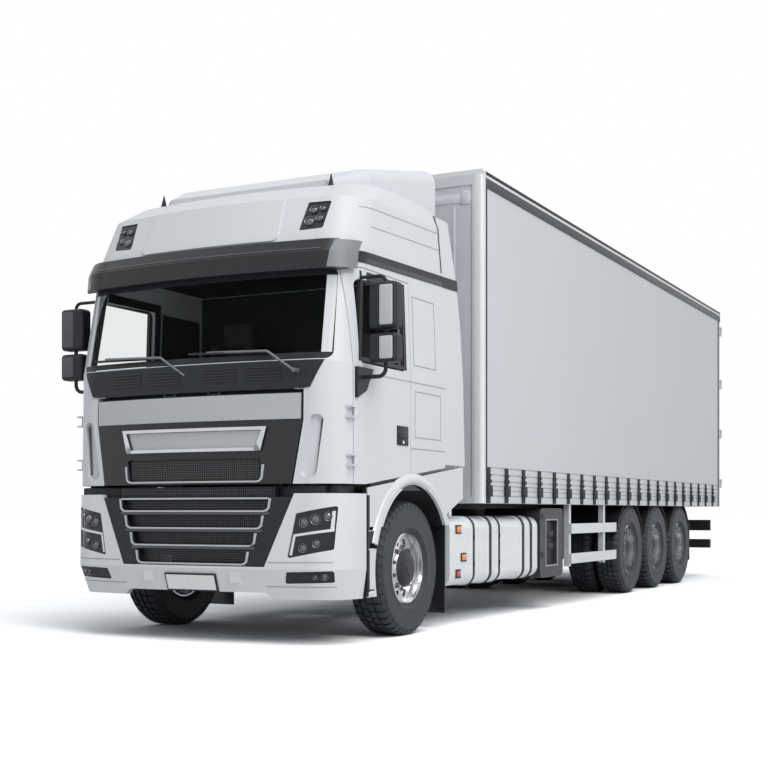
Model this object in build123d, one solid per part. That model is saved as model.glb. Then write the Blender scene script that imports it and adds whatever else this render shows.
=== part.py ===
"""Four-axle rigid truck with a tilting forward-control cab and a curtain-sided load body.

Frame: +Z up, the cab faces -Y, +X is the vehicle's left side. The origin lies on the ground,
midway between the foremost and the rearmost point. Millimetres.
"""

import os
from math import cos, radians, sin, sqrt

from build123d import *

# Overall sizes
OVERALL_LENGTH = 12000
BODY_WIDTH = 2550
BODY_TOP = 4000
CAB_WIDTH = 2490
FRONT = -OVERALL_LENGTH / 2
REAR = OVERALL_LENGTH / 2

# Stations along the truck, measured back from the foremost point
FRONT_AXLE_Y = FRONT + 1280
REAR_AXLE_PITCH = 1180
REAR_OVERHANG = 2310
REAR_AXLE_YS = [REAR - REAR_OVERHANG - i * REAR_AXLE_PITCH for i in (2, 1, 0)]
DOOR_FRONT_Y = FRONT + 300
DOOR_REAR_Y = FRONT + 1230
CAB_REAR_Y = FRONT + 1880
FAIRING_REAR_Y = FRONT + 2300
BODY_FRONT_Y = FRONT + 2620
BUFFER_DEPTH = 70
BODY_REAR_Y = REAR - BUFFER_DEPTH

# Clearances
SEAT = 0.3
RUNNING = 0.08
SHUT_GAP = 7

# Wheels
TYRE_R = 530
TYRE_WIDTH = 300
TYRE_SHOULDER_R = 45
RIM_R = 286
RIM_LIP = 18
FRONT_WHEEL_X = CAB_WIDTH / 2 - 175
TWIN_PITCH = 345
TWIN_OUTER_X = 1085
TWIN_INNER_X = TWIN_OUTER_X - TWIN_PITCH
SPINDLE_R = 45
HUB_R = 150
HAND_HOLES = 10
HAND_HOLE_R = 28
HAND_HOLE_PCD_R = 212

# Chassis frame
RAIL_X = 430
RAIL_FLANGE = 80
RAIL_WEB = 10
RAIL_BOTTOM = 730
RAIL_TOP = 1000
RAIL_FRONT_Y = FRONT + 260
RAIL_REAR_Y = REAR - 260
CROSSMEMBER_PITCH = 1100
CROSSMEMBER_WIDTH = 90
CROSSMEMBER_HEIGHT = 150
KINGPIN_X = FRONT_WHEEL_X - 170
KINGPIN_R = 25

# Cab
CAB_WALL = 60
FRONT_BOW = 70
CORNER_RADIUS = 300
CAB_BOTTOM = 1180
CAB_REAR_BOTTOM = 1340
CAB_FLOOR = 1400
CAB_FLOOR_THICKNESS = 50
ROOF_JOINT = 2950
DOOR_TOP = 2775
SCREEN_BOTTOM = 2080
SCREEN_TOP = 2750
SCREEN_HALF = CAB_WIDTH / 2 - 110
GLASS_SETBACK = 12
GLASS_THICKNESS = 6
PIVOT_Y = FRONT + 330
PIVOT_Z = 820
PIVOT_R = 22

# The cab's level sections, from the skirt to the roof
CAB_SECTIONS = [
    # height, setback of the front, half width
    (CAB_BOTTOM, 20, CAB_WIDTH / 2),
    (2060, 35, CAB_WIDTH / 2),
    (2760, 165, CAB_WIDTH / 2 - 25),
    (ROOF_JOINT, 200, CAB_WIDTH / 2 - 33),
    (3330, 380, CAB_WIDTH / 2 - 65),
    (3470, 620, CAB_WIDTH / 2 - 120),
    (3540, 980, CAB_WIDTH / 2 - 215),
]

# Front bumper
BUMPER_BOTTOM = 340
BUMPER_TOP = 1110
BUMPER_HALF = CAB_WIDTH / 2 + 5
BUMPER_WALL = 55
BUMPER_REAR_Y = FRONT + 470
BUMPER_SECTIONS = [
    # height, setback of the front, half width
    (BUMPER_BOTTOM, 75, BUMPER_HALF - 30),
    (560, 0, BUMPER_HALF),
    (BUMPER_TOP, 12, BUMPER_HALF),
]

# Load body
DECK_TOP = 1210
DECK_THICKNESS = 75
DECK_BOTTOM = DECK_TOP - DECK_THICKNESS
RAVE_BOTTOM = 1050
RAVE_WIDTH = 45
WALL_X = BODY_WIDTH / 2
CURTAIN_THICKNESS = 6
HEADBOARD_THICKNESS = 70
ROOF_THICKNESS = 40
CANT_HEIGHT = 150
CANT_WIDTH = 60
POST_WIDTH = 85
POST_DEPTH = 90
REAR_DOOR_THICKNESS = 38
REAR_DOOR_Y = BODY_REAR_Y - REAR_DOOR_THICKNESS
HINGE_OUT = 8
HINGE_BEHIND = 18
HINGE_PIN_R = 7
KNUCKLE_R = 13
KNUCKLE_LENGTH = 90


def box(x0, x1, y0, y1, z0, z1):
    """A box between two corners."""
    return Pos((x0 + x1) / 2, (y0 + y1) / 2, (z0 + z1) / 2) * Box(x1 - x0, y1 - y0, z1 - z0)


def outline(points, radius=0):
    """A flat face through points, with its corners rounded."""
    face = make_face(Polyline(*points, close=True))
    return face.face().fillet_2d(radius, face.vertices()) if radius else face


def across(points, x0, x1, radius=0):
    """A side-view outline of (y, z) points, carried across from x0 to x1."""
    return extrude(outline([(x0, y, z) for y, z in points], radius), x1 - x0, dir=(1, 0, 0))


def along(points, y0, y1, radius=0):
    """A front-view outline of (x, z) points, carried back from y0 to y1."""
    return extrude(outline([(x, y0, z) for x, z in points], radius), y1 - y0, dir=(0, 1, 0))


def upright(points, z0, z1, radius=0):
    """A plan outline of (x, y) points, carried up from z0 to z1."""
    return extrude(outline([(x, y, z0) for x, y in points], radius), z1 - z0, dir=(0, 0, 1))


def rod(start, end, radius):
    """A round bar from start to end."""
    axis = Vector(*end) - Vector(*start)
    return extrude(Plane(start, z_dir=axis) * Circle(radius), axis.length)


def tube(points, radius, bend):
    """A round bar along straight runs with rounded corners."""
    path = FilletPolyline(*points, radius=bend)
    start = Plane(path @ 0, z_dir=path % 0)
    return sweep(start * Circle(radius), path=path)


def turned(profile):
    """A solid turned about the X axis from (x, r) points."""
    face = make_face(Polyline(*[(x, r, 0) for x, r in profile], close=True))
    return revolve(face, Axis.X)


def other_side(solid):
    """The same piece on the right side of the truck."""
    return mirror(solid, about=Plane.YZ)


def pair(solid):
    """A left piece with its right twin."""
    return [solid, other_side(solid)]


def solids_of(shape):
    """Every solid in a shape or a list of shapes."""
    shapes = shape if isinstance(shape, list) else [shape]
    return [solid for item in shapes for solid in item.solids()]


# Lofted skins of the cab and of the bumper


def level_section(height, setback, half_width, inset, rear_y):
    """A level outline: bowed front, round front corners, straight sides and rear."""
    front_y = FRONT + setback + inset
    half = half_width - inset
    corner_x = half_width - CORNER_RADIUS
    radius = CORNER_RADIUS - inset
    bow_y = front_y + FRONT_BOW
    side_y = bow_y + radius
    middle = (corner_x + radius * sin(radians(45)), side_y - radius * cos(radians(45)))
    left = [(corner_x, bow_y, height), (*middle, height), (half, side_y, height)]
    right = [(-x, y, z) for x, y, z in reversed(left)]
    edges = [
        ThreePointArc(right[2], (0, front_y, height), left[0]),
        ThreePointArc(*left),
        Line(left[2], (half, rear_y, height)),
        Line((half, rear_y, height), (-half, rear_y, height)),
        Line((-half, rear_y, height), right[0]),
        ThreePointArc(*right),
    ]
    return make_face(Wire(edges))


def cab_block(inset, top_inset=0):
    """The cab's outside, or its inside where inset is the wall."""
    sections = []
    for height, setback, half_width in CAB_SECTIONS:
        drop = top_inset if height > ROOF_JOINT else 0
        rear_y = CAB_REAR_Y - max(inset, 0)
        sections.append(level_section(height - drop, setback, half_width, inset, rear_y))
    return loft(sections, ruled=True)


def bumper_block(inset):
    """The bumper's outside, or its inside where inset is the wall."""
    sections = []
    for height, setback, half_width in BUMPER_SECTIONS:
        sections.append(level_section(height, setback, half_width, inset, BUMPER_REAR_Y))
    return loft(sections, ruled=True)


def skirt_line(y):
    """Height of the cab's lower edge, level in front and rising behind the door's front."""
    start_y = BUMPER_REAR_Y
    rise = (CAB_REAR_BOTTOM - CAB_BOTTOM) / (CAB_REAR_Y - start_y)
    return CAB_BOTTOM + max(0, y - start_y) * rise


OUTSIDE = cab_block(0)
INSIDE = cab_block(CAB_WALL, CAB_WALL)
FAR = 2 * OVERALL_LENGTH
BELOW_SKIRT = across(
    [
        (BUMPER_REAR_Y, CAB_BOTTOM),
        (CAB_REAR_Y + CAB_WALL, skirt_line(CAB_REAR_Y + CAB_WALL)),
        (CAB_REAR_Y + CAB_WALL, CAB_BOTTOM - CAB_WALL),
        (BUMPER_REAR_Y, CAB_BOTTOM - CAB_WALL),
    ],
    -CAB_WIDTH,
    CAB_WIDTH,
)
SHELL = OUTSIDE - INSIDE - BELOW_SKIRT
SIDE_WALL_END_Y = CAB_REAR_Y - CAB_WALL


def cab_slice(y0, y1, z0, z1):
    """The part of the cab's shell between two stations and two heights."""
    return SHELL & box(-CAB_WIDTH, CAB_WIDTH, y0, y1, z0, z1)


# Front flap, bumper grille and lamps, as front-view outlines
FLAP_TOP = 1840
FLAP_BOTTOM = CAB_BOTTOM
FLAP_TOP_HALF = CAB_WIDTH / 2 - 320
FLAP_BOTTOM_HALF = FLAP_TOP_HALF - 80
FLAP_SHOULDER = 1640
FLAP_THICKNESS = 40
FLAP_GAP = 24
FLAP_SIDE_GAP = 10
TRAY_TOP = FLAP_SHOULDER - 40
TRAY_BOTTOM = TRAY_TOP - 180
TRAY_HALF = FLAP_TOP_HALF - 270
TRAY_RIM = 45
TRAY_OUT = 16
FLAP_GRILLE_BOTTOM = FLAP_BOTTOM + 25
FLAP_GRILLE_TOP = TRAY_BOTTOM - 50
FLAP_GRILLE_HALF = FLAP_BOTTOM_HALF - 235
GRILLE_SLAT_DEPTH = 85
GRILLE_SLAT_HEIGHT = 32
GRILLE_PLATE_SETBACK = 130
GRILLE_PLATE_THICKNESS = 12
GRILLE_RISE_SETBACK = 45
GRILLE_RISE_GAP = 20
GRILLE_TOP_HALF = BUMPER_HALF - 370
GRILLE_BOTTOM_HALF = GRILLE_TOP_HALF - 240
GRILLE_BOTTOM = 575
GRILLE_FRAME = 70
LOWER_SLATS = 4
HEADLAMP = [
    # x, z of the left lamp's corners
    (BUMPER_HALF - 430, 640),
    (BUMPER_HALF - 365, 965),
    (BUMPER_HALF - 75, 1020),
    (BUMPER_HALF - 95, 705),
]
FOG_LAMP = [
    # x, z of the left lamp's corners
    (BUMPER_HALF - 465, 455),
    (BUMPER_HALF - 440, 540),
    (BUMPER_HALF - 95, 552),
    (BUMPER_HALF - 105, 467),
]
ROOF_LAMP = [
    # x, z of the left lamp's corners
    (CAB_WIDTH / 2 - 475, 3055),
    (CAB_WIDTH / 2 - 455, 3285),
    (CAB_WIDTH / 2 - 270, 3285),
    (CAB_WIDTH / 2 - 285, 3065),
]
SCOOP = [
    # x, z of the corners of the air scoop in the left corner panel
    (CAB_WIDTH / 2 - 340, 1225),
    (CAB_WIDTH / 2 - 210, 1235),
    (CAB_WIDTH / 2 - 160, 1672),
    (CAB_WIDTH / 2 - 255, 1684),
]
SCOOP_DEPTH = 40
SCOOP_CORNER = 40
ROOF_PANEL_HALF = CAB_WIDTH / 2 - 625
ROOF_PANEL_TOP = 3450
ROOF_PANEL_OUT = 14
LAMP_SETBACK = 10
LAMP_DEPTH = 45
LAMP_CORNER = 14


def flap_outline(side_gap, top_gap):
    """The front flap's outline in front view, grown at the sides and at the top."""
    left = [
        (FLAP_TOP_HALF + side_gap, FLAP_TOP + top_gap),
        (FLAP_TOP_HALF + side_gap, FLAP_SHOULDER),
        (FLAP_BOTTOM_HALF + side_gap, FLAP_BOTTOM - side_gap),
    ]
    return left + [(-x, z) for x, z in reversed(left)]


def lamp(points, skin):
    """A lamp on the left: the skin's own curve, cut to the lamp's outline."""
    prism = along(points, FRONT - 100, FRONT + 1200, LAMP_CORNER)
    return skin & prism


# Cab pieces


def cab_front():
    """A-pillars, corner panels and scuttle round the windscreen and the front flap."""
    front = cab_slice(FRONT - 50, DOOR_FRONT_Y, CAB_BOTTOM, ROOF_JOINT)
    screen = [
        (-SCREEN_HALF, SCREEN_BOTTOM),
        (SCREEN_HALF, SCREEN_BOTTOM),
        (SCREEN_HALF - 25, SCREEN_TOP),
        (-SCREEN_HALF + 25, SCREEN_TOP),
    ]
    front -= along(screen, FRONT - 50, DOOR_FRONT_Y, 50)
    front -= along(flap_outline(FLAP_SIDE_GAP, FLAP_GAP), FRONT - 50, FRONT + 250)
    scoop = along(SCOOP, FRONT - 50, DOOR_FRONT_Y - 45, SCOOP_CORNER)
    scoop &= OUTSIDE - cab_block(SCOOP_DEPTH)
    front -= scoop
    front -= other_side(scoop)
    return front


def windscreen():
    """Bent windscreen, let into the front with an even setback."""
    skin = cab_block(GLASS_SETBACK) - cab_block(GLASS_SETBACK + GLASS_THICKNESS)
    screen = [
        (-SCREEN_HALF + SEAT, SCREEN_BOTTOM + SEAT),
        (SCREEN_HALF - SEAT, SCREEN_BOTTOM + SEAT),
        (SCREEN_HALF - 25 - SEAT, SCREEN_TOP - SEAT),
        (-SCREEN_HALF + 25 + SEAT, SCREEN_TOP - SEAT),
    ]
    return skin & along(screen, FRONT - 50, DOOR_FRONT_Y, 50)


def door_prism(gap):
    """Side-view outline of a cab door, drawn in by a gap at the rear and the top."""
    points = [
        (DOOR_FRONT_Y, CAB_BOTTOM - CAB_WALL),
        (DOOR_REAR_Y - gap, CAB_BOTTOM - CAB_WALL),
        (DOOR_REAR_Y - gap, DOOR_TOP - gap),
        (DOOR_FRONT_Y, DOOR_TOP - gap),
    ]
    return across(points, 0, CAB_WIDTH)


WINDOW = [
    # y, z of the door window's corners
    (DOOR_FRONT_Y + 75, SCREEN_BOTTOM - 15),
    (DOOR_FRONT_Y + 75, DOOR_TOP - 95),
    (DOOR_REAR_Y - 95, DOOR_TOP - 75),
    (DOOR_REAR_Y - 95, SCREEN_BOTTOM - 15),
]
WINDOW_CORNER = 55
DOOR_HINGE_X = CAB_WIDTH / 2 + 4
DOOR_HINGE_Y = DOOR_FRONT_Y - 4
DOOR_HINGE_ZS = [1350, 1700]
DOOR_PIN_R = 6
DOOR_KNUCKLE_R = 12
DOOR_KNUCKLE_LENGTH = 60


def cab_door():
    """Left door: a section of the shell with its window cut, and its hinge knuckles."""
    region = cab_slice(DOOR_FRONT_Y + SHUT_GAP, DOOR_REAR_Y, CAB_BOTTOM, DOOR_TOP)
    door = region & door_prism(SHUT_GAP)
    door -= across(WINDOW, 0, CAB_WIDTH, WINDOW_CORNER)
    for z in DOOR_HINGE_ZS:
        half = DOOR_KNUCKLE_LENGTH / 2
        knuckle = rod(
            (DOOR_HINGE_X, DOOR_HINGE_Y, z - half),
            (DOOR_HINGE_X, DOOR_HINGE_Y, z + half),
            DOOR_KNUCKLE_R,
        )
        leaf = box(
            DOOR_HINGE_X - DOOR_KNUCKLE_R,
            DOOR_HINGE_X,
            DOOR_HINGE_Y,
            DOOR_HINGE_Y + 60,
            z - half,
            z + half,
        )
        bore = rod(
            (DOOR_HINGE_X, DOOR_HINGE_Y, z - 2 * half),
            (DOOR_HINGE_X, DOOR_HINGE_Y, z + 2 * half),
            DOOR_PIN_R + RUNNING,
        )
        door = door + knuckle + leaf - bore
    return door


def door_glass():
    """Drop glass of the left door."""
    skin = cab_block(GLASS_SETBACK + 12) - cab_block(GLASS_SETBACK + 12 + GLASS_THICKNESS)
    shrunk = [
        (y + (SEAT if i < 2 else -SEAT), z + (SEAT if i in (0, 3) else -SEAT))
        for i, (y, z) in enumerate(WINDOW)
    ]
    return skin & across(shrunk, 0, CAB_WIDTH, WINDOW_CORNER)


def cab_sides():
    """Quarter panels behind the doors with the header over each door."""
    sides = cab_slice(DOOR_FRONT_Y, SIDE_WALL_END_Y, CAB_BOTTOM, ROOF_JOINT)
    left = sides & box(0, CAB_WIDTH, FRONT, REAR, 0, BODY_TOP)
    left -= door_prism(0)
    return pair(left)


def door_pins():
    """Hinge pins of the left door on the corner panel, above and below each knuckle."""
    pins = []
    for z in DOOR_HINGE_ZS:
        half = DOOR_KNUCKLE_LENGTH / 2
        ear = 14
        pin = rod(
            (DOOR_HINGE_X, DOOR_HINGE_Y, z - half - ear),
            (DOOR_HINGE_X, DOOR_HINGE_Y, z + half + ear),
            DOOR_PIN_R,
        )
        for low in (z - half - ear, z + half + 1):
            lug = box(
                DOOR_HINGE_X - 70,
                DOOR_HINGE_X + DOOR_KNUCKLE_R,
                DOOR_HINGE_Y - 60,
                DOOR_HINGE_Y + DOOR_PIN_R,
                low,
                low + ear - 1,
            )
            lug -= INSIDE
            pin = pin + lug
        pins.append(pin)
    return pins


def cab_roof():
    """High roof with a raised middle panel and lamp recesses in its front corners."""
    roof = cab_slice(FRONT - 50, CAB_REAR_Y, ROOF_JOINT, BODY_TOP)
    panel = [
        (-ROOF_PANEL_HALF, VISOR_TOP + 20),
        (ROOF_PANEL_HALF, VISOR_TOP + 20),
        (ROOF_PANEL_HALF - 40, ROOF_PANEL_TOP),
        (-ROOF_PANEL_HALF + 40, ROOF_PANEL_TOP),
    ]
    raised = cab_block(-ROOF_PANEL_OUT) - cab_block(CAB_WALL / 2)
    roof += raised & along(panel, FRONT - 50, FRONT + 700, 40)
    recess = lamp(ROOF_LAMP, OUTSIDE - cab_block(LAMP_SETBACK + LAMP_DEPTH))
    roof -= recess
    roof -= other_side(recess)
    return roof


def roof_lamps():
    """Driving lamps in the roof's front corners."""
    shrunk = inset_quad(ROOF_LAMP)
    skin = cab_block(LAMP_SETBACK) - cab_block(LAMP_SETBACK + LAMP_DEPTH - SEAT)
    return pair(lamp(shrunk, skin))


def inset_quad(points):
    """A four-cornered outline drawn in by the seat clearance."""
    cx = sum(x for x, _ in points) / len(points)
    cz = sum(z for _, z in points) / len(points)
    return [(x + (SEAT if x < cx else -SEAT), z + (SEAT if z < cz else -SEAT)) for x, z in points]


VISOR_BOTTOM = 2735
VISOR_TOP = 2965
VISOR_OUT = 75
VISOR_REAR_Y = FRONT + 700


def sun_visor():
    """Wrap-round sun visor that stands out over the windscreen."""
    sections = []
    rows = [
        # height, setback of the front, half width
        (VISOR_BOTTOM, 160 - VISOR_OUT, CAB_WIDTH / 2 + 2),
        (VISOR_BOTTOM + 130, 175 - VISOR_OUT, CAB_WIDTH / 2 + 2),
        (VISOR_TOP, 190 - VISOR_OUT / 3, CAB_WIDTH / 2 + 2),
    ]
    for height, setback, half_width in rows:
        sections.append(level_section(height, setback, half_width, 0, VISOR_REAR_Y))
    visor = loft(sections, ruled=True) - cab_block(-SEAT)
    front_only = box(-CAB_WIDTH, CAB_WIDTH, FRONT - 100, DOOR_FRONT_Y - 10, 0, BODY_TOP)
    return max((visor & front_only).solids(), key=lambda s: s.volume)


DOOR_SILL_GAP = 12


def cab_floor():
    """Floor pan with the front bulkhead, and the two pivot arms below it."""
    floor = INSIDE & box(
        -CAB_WIDTH,
        CAB_WIDTH,
        PIVOT_Y,
        CAB_REAR_Y,
        CAB_FLOOR - CAB_FLOOR_THICKNESS,
        CAB_FLOOR,
    )
    bulkhead = INSIDE & box(
        -CAB_WIDTH,
        CAB_WIDTH,
        PIVOT_Y,
        PIVOT_Y + CAB_FLOOR_THICKNESS,
        CAB_FLOOR - CAB_FLOOR_THICKNESS,
        SCREEN_BOTTOM - 120,
    )
    floor += bulkhead
    sill = INSIDE - cab_block(CAB_WALL + DOOR_SILL_GAP)
    sill &= box(-CAB_WIDTH, CAB_WIDTH, FRONT, DOOR_REAR_Y + DOOR_SILL_GAP, 0, BODY_TOP)
    floor -= sill
    under = CAB_FLOOR - CAB_FLOOR_THICKNESS
    eye_r = 2 * PIVOT_R
    x0 = RAIL_X + 12
    x1 = x0 + 50
    arm = across(
        [
            (PIVOT_Y - 10, PIVOT_Z + eye_r / 2),
            (PIVOT_Y + 420, under),
            (PIVOT_Y + 620, under),
            (PIVOT_Y + 30, PIVOT_Z - eye_r / 2),
        ],
        x0,
        x1,
    )
    arm += rod((x0, PIVOT_Y, PIVOT_Z), (x1, PIVOT_Y, PIVOT_Z), eye_r)
    arm -= rod((x0, PIVOT_Y, PIVOT_Z), (x1, PIVOT_Y, PIVOT_Z), PIVOT_R + RUNNING)
    return floor + arm + other_side(arm)


def cab_rear_wall():
    """Flat rear wall of the cab."""
    return cab_slice(SIDE_WALL_END_Y, CAB_REAR_Y, CAB_BOTTOM, ROOF_JOINT)


DEFLECTOR_TOP = 3880
DEFLECTOR_WALL = 40
ROOF_TOP = CAB_SECTIONS[-1][0]
DEFLECTOR_SECTIONS = [
    # station, half width, top, corner radius
    (FRONT + 780, CAB_WIDTH / 2 - 485, ROOF_TOP + 5, 40),
    (FRONT + 1150, CAB_WIDTH / 2 - 315, ROOF_TOP + 0.47 * (DEFLECTOR_TOP - ROOF_TOP), 90),
    (CAB_REAR_Y + 170, CAB_WIDTH / 2 - 170, DEFLECTOR_TOP, 130),
]


def deflector_section(y, half, top, radius, inset):
    """A front-view outline of the roof spoiler at one station, with round upper corners."""
    half -= inset
    top -= inset
    base = ROOF_TOP - 60
    corner = radius * (1 - cos(radians(45)))
    left = [(half, y, top - radius), (half - corner, y, top - corner), (half - radius, y, top)]
    right = [(-px, py, pz) for px, py, pz in reversed(left)]
    edges = [
        Line((half, y, base), left[0]),
        ThreePointArc(*left),
        Line(left[2], right[0]),
        ThreePointArc(*right),
        Line(right[2], (-half, y, base)),
        Line((-half, y, base), (half, y, base)),
    ]
    return make_face(Wire(edges))


def roof_deflector():
    """Raised spoiler on the roof, a hollow wedge open at the rear."""
    outer = [deflector_section(*row, 0) for row in DEFLECTOR_SECTIONS]
    inner = [deflector_section(*row, DEFLECTOR_WALL) for row in DEFLECTOR_SECTIONS[1:]]
    wedge = loft(outer, ruled=True) - loft(inner, ruled=True) - cab_block(-SEAT)
    return max(wedge.solids(), key=lambda s: s.volume)


SIDE_DEFLECTOR_WALL = 30


def side_deflectors():
    """Side fairings that close the gap behind the cab."""
    top = 3430
    bottom = CAB_REAR_BOTTOM + 25
    half = CAB_WIDTH / 2
    front_y = CAB_REAR_Y + SEAT
    front = [
        (half - 5, bottom),
        (half - 5, 2100),
        (half - 40, ROOF_JOINT),
        (half - 85, top),
        (half - 85 - SIDE_DEFLECTOR_WALL, top),
        (half - 40 - SIDE_DEFLECTOR_WALL, ROOF_JOINT),
        (half - 5 - SIDE_DEFLECTOR_WALL, 2100),
        (half - 5 - SIDE_DEFLECTOR_WALL, bottom),
    ]
    panel = along(front, front_y, FAIRING_REAR_Y)
    rear_cut = across(
        [
            (FAIRING_REAR_Y, bottom - 10),
            (FAIRING_REAR_Y, top + 10),
            (FAIRING_REAR_Y - 190, top + 10),
            (FAIRING_REAR_Y - 60, 2600),
        ],
        0,
        CAB_WIDTH,
    )
    return pair(panel - rear_cut)


DASH_TOP = 2060
WHEEL_R = 225
DRIVER_X = 560


def dashboard():
    """Dashboard across the cab with the steering column and steering wheel."""
    front_y = PIVOT_Y + CAB_FLOOR_THICKNESS
    profile = [
        (front_y, 1700),
        (front_y, DASH_TOP - 70),
        (front_y + 190, DASH_TOP - 40),
        (front_y + 330, DASH_TOP - 110),
        (front_y + 300, 1760),
    ]
    half = CAB_WIDTH / 2 - CAB_WALL - 40
    dash = across(profile, -half, half, 25)
    centre = Vector(DRIVER_X, front_y + 480, DASH_TOP - 10)
    lean = Vector(0, -0.72, -0.69)
    foot = centre + lean * 330
    column = rod(tuple(foot), tuple(centre), 32)
    rim = Plane(tuple(centre), z_dir=-lean) * Torus(WHEEL_R, 16)
    spokes = Plane(tuple(centre), z_dir=-lean) * Box(2 * WHEEL_R, 60, 18)
    return dash + column + rim + spokes


SEAT_Y = FRONT + 950
SEAT_XS = [-DRIVER_X, DRIVER_X]


def seats():
    """Two air-sprung seats: pedestal, cushion, backrest and headrest."""
    made = []
    for x in SEAT_XS:
        pedestal = box(x - 170, x + 170, SEAT_Y + 60, SEAT_Y + 420, CAB_FLOOR, 1700)
        cushion = across(
            [
                (SEAT_Y, 1700),
                (SEAT_Y, 1800),
                (SEAT_Y + 400, 1780),
                (SEAT_Y + 500, 1700),
            ],
            x - 250,
            x + 250,
            28,
        )
        back = across(
            [
                (SEAT_Y + 400, 1770),
                (SEAT_Y + 520, 2420),
                (SEAT_Y + 640, 2420),
                (SEAT_Y + 530, 1720),
            ],
            x - 245,
            x + 245,
            35,
        )
        head = across(
            [
                (SEAT_Y + 530, 2410),
                (SEAT_Y + 550, 2620),
                (SEAT_Y + 640, 2620),
                (SEAT_Y + 635, 2410),
            ],
            x - 140,
            x + 140,
            25,
        )
        made.append(pedestal + cushion + back + head)
    return made


WIPER_R = 9


def wipers():
    """Two long wiper arms with their blades, parked along the windscreen's lower edge."""
    made = []
    for x in (-620, 330):
        y = FRONT - 12
        base = SCREEN_BOTTOM - 85
        points = [
            (x + 560, y + 40, base),
            (x + 330, y + 52, base + 150),
            (x - 200, y + 62, base + 165),
        ]
        arm = tube(points, WIPER_R, 40)
        spindle = rod((x + 560, y + 40, base), (x + 560, y + 110, base), 16)
        made.append(arm + spindle - cab_block(-SEAT))
    return made


# Front flap


def tray_outline(inset):
    """The bright tray's outline on the flap, drawn in by a rim that is narrower above and below."""
    half = TRAY_HALF - inset
    top = TRAY_TOP - inset / 2
    low = TRAY_BOTTOM + inset / 2
    return [(-half, top), (half, top), (half - 50, low), (-half + 50, low)]


def front_flap():
    """Service flap: badge panel, bright band and upper grille row on one hinged panel."""
    skin = cab_block(0) - cab_block(FLAP_THICKNESS)
    flap = skin & along(flap_outline(0, 0), FRONT - 50, FRONT + 300)
    grille = [
        (-FLAP_GRILLE_HALF, FLAP_GRILLE_TOP),
        (FLAP_GRILLE_HALF, FLAP_GRILLE_TOP),
        (FLAP_GRILLE_HALF - 30, FLAP_GRILLE_BOTTOM),
        (-FLAP_GRILLE_HALF + 30, FLAP_GRILLE_BOTTOM),
    ]
    flap -= along(grille, FRONT - 50, FRONT + 300, 20)
    mesh_skin = cab_block(FLAP_THICKNESS - 16) - cab_block(FLAP_THICKNESS)
    flap += mesh_skin & along(grille, FRONT - 50, FRONT + 300, 20)
    raised = cab_block(-TRAY_OUT) - cab_block(FLAP_THICKNESS / 2)
    flap += raised & along(tray_outline(0), FRONT - 50, FRONT + 300, 12)
    hollow = cab_block(-TRAY_OUT - 4) - cab_block(6)
    flap -= hollow & along(tray_outline(TRAY_RIM), FRONT - 50, FRONT + 300, 12)
    for x in FLAP_HINGE_XS:
        hinge = (FLAP_HINGE_Y, FLAP_HINGE_Z)
        notch = box(x - 66, x + 66, FRONT - 50, FRONT + 200, FLAP_TOP - 14, FLAP_TOP + 10)
        leaf = box(x - 40, x + 40, FLAP_HINGE_Y, FLAP_HINGE_Y + 26, FLAP_TOP - 40, FLAP_HINGE_Z)
        knuckle = rod((x - 40, *hinge), (x + 40, *hinge), FLAP_KNUCKLE_R)
        bore = rod((x - 60, *hinge), (x + 60, *hinge), FLAP_PIN_R + RUNNING)
        flap = flap - notch + leaf + knuckle - bore
    return flap


FLAP_HINGE_XS = [-200, 200]
FLAP_HINGE_Y = FRONT + 44
FLAP_HINGE_Z = FLAP_TOP + 4
FLAP_KNUCKLE_R = 8
FLAP_PIN_R = 4


def flap_pins():
    """Hinge pins of the flap, held by ears on the scuttle."""
    pins = []
    for x in FLAP_HINGE_XS:
        hinge = (FLAP_HINGE_Y, FLAP_HINGE_Z)
        pin = rod((x - 58, *hinge), (x + 58, *hinge), FLAP_PIN_R)
        for low in (x - 58, x + 42):
            front_y = FLAP_HINGE_Y - FLAP_KNUCKLE_R
            pin += box(low, low + 16, front_y, FLAP_HINGE_Y + 30, FLAP_HINGE_Z - 6, FLAP_TOP + 60)
        pins.append(pin)
    return pins


# Chassis pieces


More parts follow.
